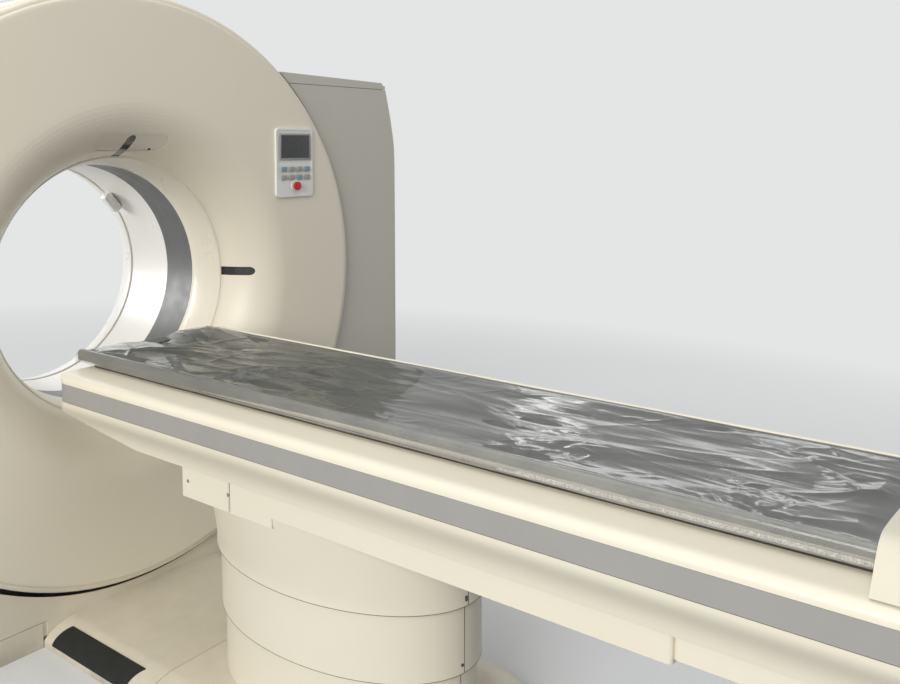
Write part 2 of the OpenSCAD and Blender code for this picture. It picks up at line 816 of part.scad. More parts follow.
// Floor covers between gantry and pedestal
bridge_curve = [
  [bridge_x, kick_z],
  [bridge_x - 6, kick_z + 16],
  [bridge_x - bridge_slope + 40, bridge_z - 6],
  [bridge_x - bridge_slope, bridge_z - 3]
];
function bridge_half(d) = concat([[bridge_x - d, 0]], curve(bridge_curve, -d, 10));
function bridge_line(d) = concat(bridge_half(d), [[0, bridge_z - d]], flip_x(bridge_half(d)));
module bridge_cover() {
  color(cream) along_y(-bridge_end + seam / 2, -plinth_front - fit) difference() {
    polygon(bridge_line(0));
    translate([0, -1]) polygon(bridge_line(floor_t));
  }
}
pad_curve = 70;
module grip_pads() {
  pad_y = -plinth_front - 42 - pad_l / 2;
  color(dark) for (s = [0, 1]) mirror([s, 0, 0]) intersection() {
    along_y(-bridge_end, -plinth_front) polygon(concat(curve(bridge_curve, fit, 10),
      back(curve(bridge_curve, fit + pad_t, 10))));
    linear_extrude(far / 10) difference() {
      union() {
        translate([bridge_x - pad_w, pad_y - pad_l / 2]) square([2 * pad_w, pad_l - pad_curve]);
        intersection() {
          translate([bridge_x - pad_w, pad_y]) square([2 * pad_w, pad_l / 2]);
          translate([bridge_x - pad_w / 3, pad_y + pad_l / 2 - pad_curve]) circle(pad_curve);
        }
      }
      translate([bridge_x - pad_w / 3, pad_y - pad_l / 2 - pad_curve + 12]) circle(pad_curve);
    }
  }
}
module table_base_frame() {
  color(steel) difference() {
    union() {
      block(-table_base_x, table_base_x, -table_base_end, plinth_back - fit, 0, table_base_t);
      for (s = [-1, 1]) translate([s * 150, 0, 0])
        block(-12, 12, -ped_y + ped_b + 12, -plinth_front - 20, table_base_t - 1, table_base_t + 26);
    }
    table_anchor_points(0, -1, table_base_t + 1);
  }
}
base_end = ped_y + ped_b - 200;
// A floor cover with a straight part and a round end at the foot
module base_shape(d, y0, drop) {
  translate([0, 0, -drop]) {
    along_y(-base_end, y0) polygon(bridge_line(d));
    intersection() {
      translate([0, -base_end, 0]) rotate_extrude($fn = 180)
        polygon(concat([[0, 0]], bridge_half(d), [[0, bridge_z - d]]));
      block(-far, far, -far, -base_end, -far, far);
    }
  }
}
module pedestal_base_cover() {
  y0 = -bridge_end - seam / 2;
  lap = floor_t + 1;
  color(cream) difference() {
    union() {
      difference() {
        base_shape(0, y0, 0);
        base_shape(floor_t, y0 + 1, 1);
      }
      along_y(y0 - 6, y0) polygon(bridge_line(floor_t - 1));
      along_y(y0 - 6, y0 + 18) polygon(bridge_line(lap));
    }
    translate([0, 0, -1]) along_y(y0 - 7, y0 + 19) polygon(bridge_line(lap + tongue_t - 1));
    translate([0, -ped_y, -1]) linear_extrude(far) polygon(oval(low_a + fit, low_b + fit));
  }
}

// Telescoping pedestal
mid_a = ped_a - ped_step;
mid_b = ped_b - ped_step;
low_a = ped_a - 2 * ped_step;
low_b = ped_b - 2 * ped_step;
low_top = seam_lo + 45;
mid_top = seam_hi + 30;
mast_mid_w = mast_w - 2 * mast_t - 2 * fit;
mast_mid_l = mast_l - 2 * mast_t - 2 * fit;
mast_in_w = mast_mid_w - 2 * mast_t - 2 * fit;
mast_in_l = mast_mid_l - 2 * mast_t - 2 * fit;
module oval_shell(a, b, t, z0, z1) {
  translate([0, -ped_y, z0]) linear_extrude(z1 - z0) difference() {
    polygon(oval(a, b));
    polygon(oval(a - t, b - t));
  }
}
module box_tube(w, l, t, z0, z1) {
  translate([0, -ped_y, z0]) linear_extrude(z1 - z0) difference() {
    square([w, l], center = true);
    square([w - 2 * t, l - 2 * t], center = true);
  }
}
module pedestal_section_lower() {
  color(cream) {
    oval_shell(low_a, low_b, ped_t, table_base_t, low_top);
  }
}
module pedestal_section_mid() {
  z1 = mid_top - 4;
  color(cream) {
    oval_shell(mid_a, mid_b, ped_t, seam_lo, mid_top);
    translate([0, -ped_y, z1 - 6]) linear_extrude(6) difference() {
      polygon(oval(mid_a - 1, mid_b - 1));
      square([mast_mid_w, mast_mid_l], center = true);
    }
  }
}
flare_z = seam_hi + 34;
box_deep_y = ped_y + 41;
// The space above the deeper head end of the under box
module deep_cut(z) {
  block(-far, far, -box_deep_y, far, z, far);
}
// The upper section widens towards the under box, until it is flush with it
module flared_shell(z0, z1) {
  k = box_x / ped_a;
  translate([0, -ped_y, z0]) difference() {
    linear_extrude(z1 - z0, scale = [k, 1], slices = 2) polygon(oval(ped_a, ped_b));
    translate([0, 0, -1]) linear_extrude(z1 - z0 + 2, scale = [k, 1], slices = 2)
      polygon(oval(ped_a - ped_t, ped_b - ped_t));
  }
}
module pedestal_section_upper() {
  color(cream) difference() {
    union() {
      oval_shell(ped_a, ped_b, ped_t, seam_hi, flare_z);
      flared_shell(flare_z - 0.01, box_z);
    }
    deep_cut(box_z - box_deep);
  }
}
module lift_mast_outer() {
  color(steel) box_tube(mast_w, mast_l, mast_t, table_base_t, low_top);
}
module lift_mast_mid() {
  color(steel) box_tube(mast_mid_w, mast_mid_l, mast_t, low_top - 105, mid_top - 4);
}
module lift_mast_inner() {
  color(steel) difference() {
    box_tube(mast_in_w, mast_in_l, mast_t, lift_down + 45, box_z);
    deep_cut(box_z - box_deep);
  }
}
cyl_top = seam_hi - 10;
rod_top = car_z - 94;
rod_low = lift_down + 25;
module lift_cylinder() {
  color(dark) translate([0, -ped_y, table_base_t]) difference() {
    union() {
      cylinder(h = cyl_top - table_base_t, r = rod_r + 14);
      cylinder(h = 14, r = rod_r + 30);
    }
    translate([0, 0, 3]) cylinder(h = cyl_top, r = rod_r + run_fit);
  }
}

// Carrier that holds the tabletop
frame_x = 205;
frame_end = ped_y + 446;
rail_top = car_z + 2.6;
beam_z = car_z - 49;
module carriage_frame() {
  x0 = frame_x - 34;
  color(steel) difference() {
    union() {
      block(-frame_x, frame_x, -frame_end, -box_head - 20, box_z + car_t + fit, box_z + car_t + 12);
      for (s = [-1, 1]) translate([s * (frame_x - 17), 0, 0])
        block(-17, 17, -car_foot + 40, -car_head - 340, car_low_z + car_t + fit, beam_z);
      for (s = [-1, 1]) translate([s * (frame_x - 17), 0, 0])
        block(-17, 17, -car_head - 341, -car_head - 60, rod_top - 10, beam_z);
      for (s = [-1, 1]) translate([s * (frame_x - 17), 0, 0])
        block(-17, 17, -frame_end, -box_head - 20, box_z + car_t + fit, car_low_z + 10);
      for (y = [-car_head - 100, -ped_y, -frame_end - 40, -box_step + 46, -car_foot + 80])
        block(-x0 - 1, x0 + 1, y - 40, y + 40, rod_top, rod_top + 14);
      for (s = [-1, 1]) translate([s * rail_x, 0, 0]) {
        block(-rail_w / 2, rail_w / 2, -car_foot + 40, -car_head - 30, beam_z - 30, rail_top);
        block(-rail_w / 2, frame_x - rail_x, -car_foot + 40, -car_head - 60, beam_z - 30, beam_z);
        block(rail_x - frame_x, rail_w / 2, -car_foot + 40, -car_head - 60, beam_z - 30, beam_z);
      }
    }
    mast_hole(0, car_low_z + 30);
  }
  color(steel) translate([0, -ped_y, rod_low]) cylinder(h = rod_top - rod_low + 1, r = rod_r);
}
box_corner = 10;
// One tray of the under box, closed at its foot end, its head end, or both
module under_box(y0, y1, z0, foot_wall, head_wall) {
  z1 = car_low_z - fit;
  difference() {
    translate([0, 0, z0]) linear_extrude(z1 - z0) {
      translate([-box_x, y0 + foot_wall * box_corner])
        square([2 * box_x, y1 - y0 - (foot_wall + head_wall) * box_corner]);
      translate([0, (y0 + y1) / 2]) rounded(2 * box_x, y1 - y0, box_corner);
    }
    block(-box_x + car_t, box_x - car_t, y0 + (foot_wall ? car_t : -1), y1 - (head_wall ? car_t : -1),
      z0 + car_t, z1 + 1);
  }
}
module mast_hole(z0, z1) {
  x = mast_in_w / 2 - mast_t;
  y = mast_in_l / 2 - mast_t;
  block(-x, x, -ped_y - y, -ped_y + y, z0, z1);
}
module under_box_covers() {
  color(cream) difference() {
    union() {
      under_box(-box_seam + seam / 4, -box_head, box_z - box_deep, 0, 1);
      difference() {
        union() {
          under_box(-box_step, -box_seam - seam / 4, box_z, 1, 0);
          block(-box_x, box_x, -box_deep_y, -box_seam - seam / 4, box_z - box_deep, box_z + 1);
        }
        block(-box_x + car_t, box_x - car_t, -box_deep_y + car_t, -box_seam, box_z - box_deep + car_t, car_low_z);
      }
      under_box(-car_foot + 30, -box_step - fit, box_z + 12, 1, 1);
    }
    mast_hole(0, far);
  }
}
car_corner = 62;
module car_plan(inset) {
  x = car_x - inset;
  y0 = -car_foot + inset;
  y1 = -car_head - inset;
  r = car_corner - inset;
  translate([-x, y0]) square([2 * x, y1 - y0 - r]);
  translate([-x + r, y0]) square([2 * (x - r), y1 - y0]);
  for (s = [-1, 1]) translate([s * (x - r), y1 - r]) circle(r);
}
edge_top = [
  [car_x, car_z - car_edge],
  [car_x, car_z - 8],
  [car_x - 8, car_z],
  [car_x - car_edge - 8, car_z]
];
band_top = car_z - car_edge - 2;
band_low = band_top - band_h;
slot_y0 = -top_foot + 460;
slot_y1 = slot_y0 + slide_in + 60;
module car_edge_line(d) {
  c = [for (p = curve(edge_top, 0, 8)) p];
  pts = [for (p = c) [p[0] - d, p[1] - (p[1] > car_z - car_edge ? d : 0)]];
  polygon(concat([[0, band_top - (d > 0 ? 1 : 0)], [car_x - d, band_top - (d > 0 ? 1 : 0)]], pts, [[0, car_z - d]]));
}
module car_top_solid(d) {
  intersection() {
    union() for (s = [0, 1]) mirror([s, 0, 0]) along_y(-far, 0) car_edge_line(d);
    along_x(-far, far) translate([-car_head - car_x, 0]) car_edge_line(d);
    translate([0, 0, 0]) linear_extrude(far) car_plan(d);
  }
}
module car_top_solid_long(d) {
  union() {
    car_top_solid(d);
    intersection() {
      union() for (s = [0, 1]) mirror([s, 0, 0]) along_y(-far, 0) car_edge_line(d);
      block(-car_x, car_x, -car_foot + d, -car_head - car_x + 1, 0, far);
    }
  }
}
module carrier_top_cover() {
  color(cream) difference() {
    car_top_solid_long(0);
    car_top_solid_long(car_t);
    for (s = [-1, 1]) translate([s * rail_x, 0, 0])
      block(-rail_w / 2 - fit, rail_w / 2 + fit, -car_foot + 38, -car_head - 28, 0, far);
    block(-9, 9, slot_y0, slot_y1, 0, far);
  }
}
module carrier_side_band() {
  color(grey) translate([0, 0, band_low]) linear_extrude(band_h - fit) difference() {
    car_plan(1);
    car_plan(1 + car_t);
  }
}
lower_curve = [
  [car_x, band_low - fit],
  [car_x + 1, band_low - 34],
  [car_low_x + 8, band_low - 44],
  [car_low_x, car_low_z]
];
function lower_half(d) = concat(curve(lower_curve, d, 14), [[0, car_low_z + d]]);
head_curve = [
  [-car_head, band_low - fit],
  [-car_head, band_low - 40],
  [-car_head - 50, band_low - 62],
  [-car_head - 330, car_low_z]
];
module lower_side(d) {
  for (s = [0, 1]) mirror([s, 0, 0]) along_y(-car_foot + d, 0)
    polygon(concat([[0, band_low - fit + (d > 0 ? 1 : 0)]],
      [[lower_half(d)[0][0], band_low - fit + (d > 0 ? 1 : 0)]], lower_half(d)));
}
module lower_solid(d) {
  intersection() {
    lower_side(d);
    along_x(-far, far) polygon(concat([[-far, car_low_z + d], [-far, band_low + 1]],
      [[curve(head_curve, d, 14)[0][0], band_low + 1]], curve(head_curve, d, 14)));
    linear_extrude(far) car_plan(d);
  }
}
module carrier_lower_cover() {
  color(cream) difference() {
    lower_solid(0);
    lower_solid(car_t);
    block(-mast_in_w / 2 - 40, mast_in_w / 2 + 40, -frame_end - 40, -box_head - 18, 0, car_low_z + car_t + 1);
    block(-frame_x - fit, frame_x + fit, -frame_end - fit, -box_head - 20 + fit, 0, car_low_z + car_t + 1);
  }
}

// Sliding tabletop with its end grip, and the mattress on it
top_z = rail_top + fit;
rim_z = top_z + top_h;
top_side = [
  [top_x - 38, top_z],
  [top_x - 10, top_z],
  [top_x, top_z + 14],
  [top_x, rim_z - 12]
];
top_rim = [
  [top_x, rim_z - 12],
  [top_x, rim_z],
  [top_x - 12, rim_z + 2],
  [top_x - 16, rim_z - 3]
];
dish_curve = [
  [top_x - 16, rim_z - 3],
  [top_x - 28, rim_z - 26],
  [120, top_z + top_t],
  [0, top_z + top_t]
];
top_half = concat(curve(top_side, 0, 8), curve(top_rim, 0, 6), curve(dish_curve, 0, 14));
top_line = concat(top_half, flip_x(top_half));
top_corner = 90;
module top_plan(x, y0, y1, r) {
  translate([-x, y0]) square([2 * x, y1 - y0 - r]);
  translate([-x + r, y0]) square([2 * (x - r), y1 - y0]);
  for (s = [-1, 1]) translate([s * (x - r), y1 - r]) circle(r);
}
grip_seat = 40;
module grip_outline() {
  z1 = top_z + grip_h;
  side = [
    [grip_x, top_z],
    [grip_x - 32, top_z + 20],
    [grip_x - 40, z1],
    [grip_x - 88, z1]
  ];
  dip = [
    [grip_x - 88, z1],
    [grip_x - 150, z1],
    [80, z1 - 14],
    [0, z1 - 14]
  ];
  half = concat(curve(side, 0, 14), curve(dip, 0, 10));
  polygon(concat(half, flip_x(half)));
}
module tabletop() {
  color(cream) {
    intersection() {
      along_y(-grip_y - grip_seat, -top_head) polygon(top_line);
      linear_extrude(far) top_plan(top_x, -top_foot, -top_head, top_corner);
    }
    block(-6, 6, slot_y0 + 8, slot_y0 + 48, car_z - 30, top_z + 1);
  }
}
module end_grip() {
  color(pale) difference() {
    along_y(-top_foot, -grip_y) grip_outline();
    intersection() {
      block(-far, far, -grip_y - grip_seat, far, 0, far);
      along_y(-far, far) polygon(top_line);
    }
    block(24 - top_x, top_x - 24, -top_foot + 34, -grip_y - 24, top_z + 16, far);
  }
}
mat_x = top_x - 25;
mat_top = [
  [0, top_z + top_t + mat_t],
  [80, top_z + top_t + mat_t],
  [mat_x - 60, rim_z - 8],
  [mat_x, rim_z - 8]
];
mat_under = [for (p = curve(dish_curve, fit, 24)) if (p[0] < mat_x) p];
mat_half = concat(curve(mat_top, 0, 10), mat_under);
module mattress() {
  color([0.35, 0.37, 0.38]) {
    intersection() {
      along_y(-grip_y + 6, -top_head - 12) polygon(concat(mat_half, flip_x(mat_half)));
      linear_extrude(far) top_plan(mat_x, -grip_y, -top_head - 12, top_corner - 10);
    }
  }
}

base_frame();
left_stand_frame();
right_stand_frame();
left_stand_cover();
right_stand_cover();
left_stand_cap();
right_stand_cap();
toe_covers();
plinth_front_cover();
plinth_rear_cover();
tilt_gearmotor();
bridge_cover();
grip_pads();
table_base_frame();
pedestal_base_cover();
pedestal_section_lower();
lift_mast_outer();
lift_cylinder();
tilt_frame();
front_cover();
rim_trim();
accent_strip();
side_band();
rear_cover();
scan_window();
rear_liner();
bore_pod();
status_panel();
laser_windows();
left_control_panel();
right_control_panel();
left_stop_button();
right_stop_button();
main_bearing_outer();
main_bearing_inner();
rotor_motor();
drive_pulley();
drive_belt();
brush_block();
rotor_drum();
slip_ring();
xray_tube();
collimator();
hv_generator();
tube_cooler();
detector_arc();
counterweights();
pedestal_section_mid();
lift_mast_mid();
pedestal_section_upper();
lift_mast_inner();
carriage_frame();
under_box_covers();
carrier_top_cover();
carrier_side_band();
carrier_lower_cover();
tabletop();
end_grip();
mattress();
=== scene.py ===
"""Looks of the CT scanner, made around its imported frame. Everything is in metres.

The bore axis runs along Y, the patient table lies on the -Y side, and the camera looks at the
table's -X side. Pieces are placed from the boxes of the CAD nodes that carry them.
"""

import json
import math

import bmesh
import bpy
import numpy as np
from mathutils import Matrix, Vector, noise
from mathutils.geometry import convex_hull_2d


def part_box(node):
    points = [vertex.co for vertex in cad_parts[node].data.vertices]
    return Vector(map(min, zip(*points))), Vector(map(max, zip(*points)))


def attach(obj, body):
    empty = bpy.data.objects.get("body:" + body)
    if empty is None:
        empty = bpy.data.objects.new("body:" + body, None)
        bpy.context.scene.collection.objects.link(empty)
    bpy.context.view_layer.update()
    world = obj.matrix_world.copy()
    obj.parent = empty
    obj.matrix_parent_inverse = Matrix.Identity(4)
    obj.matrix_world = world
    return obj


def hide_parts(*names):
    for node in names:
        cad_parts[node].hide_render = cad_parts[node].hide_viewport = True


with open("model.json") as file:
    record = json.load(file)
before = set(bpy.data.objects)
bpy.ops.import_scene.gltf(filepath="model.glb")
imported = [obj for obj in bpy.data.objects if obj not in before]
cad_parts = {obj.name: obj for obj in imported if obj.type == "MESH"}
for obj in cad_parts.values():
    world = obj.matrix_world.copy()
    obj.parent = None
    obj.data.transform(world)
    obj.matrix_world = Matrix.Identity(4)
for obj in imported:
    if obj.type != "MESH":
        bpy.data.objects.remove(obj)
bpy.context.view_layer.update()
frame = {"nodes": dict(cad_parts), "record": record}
SEED = 7
ISO_Z = 1.030  # height of the bore axis
SIDES = ((-1, "left"), (1, "right"))


# Camera, at the photograph's viewing angle
SENSOR = LENS = 36
CAMERA_AT = Vector((-1.670, -2.820, 1.487))
CAMERA_YAW = 0.925
CAMERA_PITCH = 0.079
CAMERA_SHIFT = -0.1407


def make_camera():
    data = bpy.data.cameras.new("camera")
    data.sensor_width = SENSOR
    data.lens = LENS
    data.shift_y = CAMERA_SHIFT
    data.clip_end = 200
    obj = bpy.data.objects.new("camera", data)
    bpy.context.scene.collection.objects.link(obj)
    flat = math.cos(CAMERA_PITCH)
    ahead = Vector((math.sin(CAMERA_YAW) * flat, math.cos(CAMERA_YAW) * flat, -math.sin(CAMERA_PITCH)))
    obj.location = CAMERA_AT
    obj.rotation_euler = ahead.to_track_quat("-Z", "Y").to_euler()
    bpy.context.scene.camera = obj


make_camera()


# Materials
def lin(r, g, b):
    """A colour written as 0 to 255 screen values, as the linear colour that Blender's sockets take."""
    out = []
    for c in (r, g, b):
        c = c / 255
        out.append(c / 12.92 if c <= 0.04045 else ((c + 0.055) / 1.055) ** 2.4)
    return (*out, 1.0)


class Mat:
    """A node material with one Principled shader, and short calls for the nodes that feed it."""

    def __init__(self, name, rough=0.5, metal=0.0, **sockets):
        self.mat = bpy.data.materials.new(name)
        self.mat.use_nodes = True
        self.tree = self.mat.node_tree
        self.tree.nodes.clear()
        self.out = self.tree.nodes.new("ShaderNodeOutputMaterial")
        self.bsdf = self.tree.nodes.new("ShaderNodeBsdfPrincipled")
        self.link(self.bsdf.outputs[0], self.out.inputs[0])
        self.bsdf.inputs["Roughness"].default_value = rough
        self.bsdf.inputs["Metallic"].default_value = metal
        for key, value in sockets.items():
            self.bsdf.inputs[key.replace("_", " ")].default_value = value
        coords = self.tree.nodes.new("ShaderNodeTexCoord")
        self.at = coords.outputs["Object"]

    def link(self, a, b):
        self.tree.links.new(a, b)

    def set(self, name, source):
        self.link(source, self.bsdf.inputs[name])
        return self

    def scaled(self, x, y, z):
        n = self.tree.nodes.new("ShaderNodeMapping")
        n.inputs["Scale"].default_value = (x, y, z)
        self.link(self.at, n.inputs["Vector"])
        return n.outputs[0]

    def noise(self, scale, detail=3, rough=0.5, at=None):
        n = self.tree.nodes.new("ShaderNodeTexNoise")
        n.inputs["Scale"].default_value = scale
        n.inputs["Detail"].default_value = detail
        n.inputs["Roughness"].default_value = rough
        self.link(at or self.at, n.inputs["Vector"])
        return n.outputs["Fac"]

    def cells(self, scale):
        n = self.tree.nodes.new("ShaderNodeTexVoronoi")
        n.inputs["Scale"].default_value = scale
        self.link(self.at, n.inputs["Vector"])
        return n.outputs["Distance"]

    def ramp(self, source, *stops):
        """Stops are (place, colour) or (place, number)."""
        n = self.tree.nodes.new("ShaderNodeValToRGB")
        while len(n.color_ramp.elements) < len(stops):
            n.color_ramp.elements.new(0.5)
        for element, (place, value) in zip(n.color_ramp.elements, stops):
            element.position = place
            element.color = value if hasattr(value, "__len__") else (value, value, value, 1)
        self.link(source, n.inputs[0])
        return n.outputs[0]

    def span(self, source, a, b, low=0.0, high=1.0):
        """Runs from low to high while the source runs from a to b, and holds past them."""
        n = self.tree.nodes.new("ShaderNodeMapRange")
        for i, v in enumerate((a, b, low, high)):
            n.inputs[i + 1].default_value = v
        self.link(source, n.inputs[0])
        return n.outputs[0]

    def math(self, kind, a, b=0.0):
        n = self.tree.nodes.new("ShaderNodeMath")
        n.operation = kind
        for i, v in enumerate((a, b)):
            if isinstance(v, (int, float)):
                n.inputs[i].default_value = v
            else:
                self.link(v, n.inputs[i])
        return n.outputs[0]

    def mix(self, factor, a, b, kind="MIX"):
        n = self.tree.nodes.new("ShaderNodeMix")
        n.data_type = "RGBA"
        n.blend_type = kind
        for socket, v in ((n.inputs[0], factor), (n.inputs[6], a), (n.inputs[7], b)):
            if isinstance(v, (int, float)) or hasattr(v, "__len__"):
                socket.default_value = v
            else:
                self.link(v, socket)
        return n.outputs[2]

    def axis(self, name):
        n = self.tree.nodes.new("ShaderNodeSeparateXYZ")
        self.link(self.at, n.inputs[0])
        return n.outputs[name]

    def bump(self, height, distance, strength=1.0):
        n = self.tree.nodes.new("ShaderNodeBump")
        n.inputs["Strength"].default_value = strength
        n.inputs["Distance"].default_value = distance
        self.link(height, n.inputs["Height"])
        return n.outputs[0]


DIRT = lin(122, 116, 104)
DIRT_REACH = 0.09
PEEL_DEPTH, PEEL_SCALE = 0.00012, 260


def shades(colour, darker, lighter):
    """A colour's dark and light ends, by shares of it."""
    dark = tuple(c * (1 - darker) for c in colour[:3]) + (1,)
    return dark, tuple(min(1, c * (1 + lighter)) for c in colour[:3]) + (1,)


def moulded(name, colour, rough=0.36, mottle=0.025, floor_dirt=0.0):
    """Painted moulded cover: faint mottling, small changes of gloss, orange peel, dust near the floor."""
    m = Mat(name, rough, Specular_IOR_Level=0.45)
    dark, light = shades(colour, mottle, mottle * 0.6)
    base = m.ramp(m.noise(1.6, 4, 0.55), (0.3, dark), (0.7, light))
    specks = m.ramp(m.noise(900, 2), (0.30, 0.93), (0.42, 1.0))
    base = m.mix(0.12, base, specks, "MULTIPLY")
    if floor_dirt:
        low = m.span(m.axis("Z"), 0.0, DIRT_REACH, 1.0, 0.0)
        smear = m.math("MULTIPLY", low, m.ramp(m.noise(9, 5, 0.65), (0.35, 0.25), (0.7, 1.0)))
        base = m.mix(m.math("MULTIPLY", smear, floor_dirt), base, DIRT)
    m.set("Base Color", base)
    m.set("Roughness", m.ramp(m.noise(5, 4, 0.6), (0.3, rough - 0.05), (0.75, rough + 0.07)))
    m.set("Normal", m.bump(m.noise(PEEL_SCALE, 2), PEEL_DEPTH, 0.5))
    return m.mat


def textured(name, colour, rough=0.6, grain=1400, depth=0.00012, spread=0.06):
    """Fine grained plastic or rubber."""
    m = Mat(name, rough, Specular_IOR_Level=0.4)
    dark, light = shades(colour, spread, spread)
    blotch = m.ramp(m.noise(6, 5, 0.6), (0.3, dark), (0.7, light))
    m.set("Base Color", m.mix(0.3, blotch, m.ramp(m.cells(grain), (0.0, 0.8), (0.6, 1.0)), "MULTIPLY"))
    m.set("Roughness", m.ramp(m.noise(30, 4), (0.3, rough - 0.06), (0.7, rough + 0.08)))
    m.set("Normal", m.bump(m.cells(grain), depth, 0.6))
    return m.mat


def metal(name, colour, rough=0.35, metallic=1.0, brushed=(1, 1, 30)):
    """Machined or cast metal with drawn lines along one direction."""
    m = Mat(name, rough, metallic)
    lines = m.noise(40, 5, 0.7, at=m.scaled(*brushed))
    dark = tuple(c * 0.82 for c in colour[:3]) + (1,)
    m.set("Base Color", m.ramp(lines, (0.3, dark), (0.7, colour)))
    m.set("Roughness", m.ramp(lines, (0.2, rough - 0.08), (0.8, rough + 0.12)))
    m.set("Normal", m.bump(lines, 0.0001, 0.5))
    return m.mat


MAT = {
    "cover_cream": moulded("cover_cream", lin(229, 222, 203)),
    "cover_floor": moulded("cover_floor", lin(224, 216, 197), 0.42, 0.04, floor_dirt=0.55),
    "cover_pale": moulded("cover_pale", lin(243, 241, 235), 0.32, 0.015),
    # stand_grey is darker than the stands' own pale colour: painted shade
    "stand_grey": moulded("stand_grey", lin(196, 192, 181), 0.4, 0.03),
    "trim_grey": textured("trim_grey", lin(158, 156, 151), 0.55, 1600, 0.0001, 0.03),
    "accent_coral": moulded("accent_coral", lin(214, 112, 92), 0.4),
    "pad_rubber": textured("pad_rubber", lin(32, 33, 32), 0.75, 520, 0.0006, 0.14),
    "panel_pale": moulded("panel_pale", lin(226, 227, 222), 0.45, 0.02),
    "button_red": moulded("button_red", lin(186, 38, 30), 0.3, 0.04),
    "frame_steel": textured("frame_steel", lin(126, 130, 136), 0.5, 700, 0.0002, 0.08),
    "bearing_steel": metal("bearing_steel", lin(190, 190, 192), 0.28, brushed=(6, 90, 6)),
    "machine_grey": metal("machine_grey", lin(176, 178, 181), 0.42, 0.9, (9, 9, 9)),
    "copper_ring": metal("copper_ring", lin(203, 152, 98), 0.25, brushed=(6, 60, 6)),
    "motor_dark": textured("motor_dark", lin(58, 61, 64), 0.5, 500, 0.0003, 0.1),
    "belt_black": textured("belt_black", lin(34, 34, 34), 0.7, 300, 0.0004, 0.12),
    "mattress_grey": textured("mattress_grey", lin(74, 76, 73), 0.5, 900, 0.0003, 0.08),
    # A darker copy of the cover cream for the end grip: painted shade
    "grip_cream_shaded": moulded("grip_cream_shaded", lin(214, 208, 189), 0.44),
    # gap_black also paints the shadow under the tabletop's edge and the shade inside the louvre gaps
    "gap_black": textured("gap_black", lin(46, 42, 37), 0.7, 900, 0.0001, 0.08),
    "key_blue": moulded("key_blue", lin(128, 146, 158), 0.45),
    # Wiper lips, darker to paint the shadow line under each pedestal shell's edge
    "wiper_lip_shadow": textured("wiper_lip_shadow", lin(122, 115, 101), 0.6, 900, 0.0001, 0.05),
    "seam_shadow": textured("seam_shadow", lin(74, 71, 64), 0.7, 900, 0.0001, 0.05),
    "screw_steel": metal("screw_steel", lin(104, 102, 98), 0.45, brushed=(40, 40, 40)),
    "lining_pale": moulded("lining_pale", lin(226, 219, 202), 0.3, 0.015),
    "pod_white": moulded("pod_white", lin(248, 248, 246), 0.22, 0.01),
}


def window_material():
    """The scan window's tinted film, with faint bands drawn round the bore."""
    m = Mat("window_dark", 0.42, Specular_IOR_Level=0.5)
    bands = m.noise(30, 3, 0.6, at=m.scaled(0.25, 7, 0.25))
    m.set("Base Color", m.ramp(bands, (0.3, lin(84, 85, 83)), (0.7, lin(95, 96, 94))))
    m.set("Roughness", m.ramp(m.noise(14, 4), (0.3, 0.36), (0.7, 0.5)))
    m.set("Normal", m.bump(bands, 0.0002, 0.35))
    return m.mat


def glass_material():
    """Dark tinted laser window with dust and a faint uneven surface."""
    m = Mat("laser_glass", 0.12, Specular_IOR_Level=0.6)
    dust = m.noise(160, 5, 0.7)
    m.set("Base Color", m.ramp(dust, (0.35, lin(38, 39, 41)), (0.75, lin(62, 63, 65))))
    m.set("Roughness", m.ramp(dust, (0.4, 0.08), (0.8, 0.3)))
    m.set("Normal", m.bump(m.noise(24, 2), 0.0002, 0.3))
    return m.mat


RIB_PITCH = 0.0075


def ribbed_material():
    """The status panel: translucent cream plastic over fine upright ribs, one every RIB_PITCH."""
    m = Mat("status_ribs", 0.34, Specular_IOR_Level=0.5)
    wave = m.math("ABSOLUTE", m.math("SINE", m.math("MULTIPLY", m.axis("X"), math.pi / RIB_PITCH)))
    m.set("Base Color", m.ramp(wave, (0.0, lin(205, 199, 183)), (0.55, lin(226, 220, 204))))
    m.set("Roughness", m.ramp(m.noise(20, 3), (0.3, 0.28), (0.7, 0.4)))
    m.set("Normal", m.bump(wave, 0.0004, 0.5))
    return m.mat


MAT.update(status_ribs=ribbed_material(), window_dark=window_material(), laser_glass=glass_material())

# Nodes that collect dust near the floor, and nodes with a finish of their own; the end grip's is a darker
# copy of the cream, painted shade
FLOOR_PARTS = ("bridge_cover", "toe_covers", "plinth_front_cover", "plinth_rear_cover", "pedestal_base_cover")
OWN_FINISH_AND_SHADE = {"end_grip": "grip_cream_shaded", "status_panel": "status_ribs"}


def dress_frame():
    slots = {s["node"]: s["material_slot"] for s in frame["record"]["subparts"]}
    for name, obj in frame["nodes"].items():
        key = OWN_FINISH_AND_SHADE.get(name, "cover_floor" if name in FLOOR_PARTS else slots[name])
        obj.data.materials.clear()
        obj.data.materials.append(MAT[key])


dress_frame()


# Smooth shading of the frame
WELD_GAP = 0.00003
SMOOTH_BELOW = math.radians(33)
SMOOTH_SHARE = 0.9


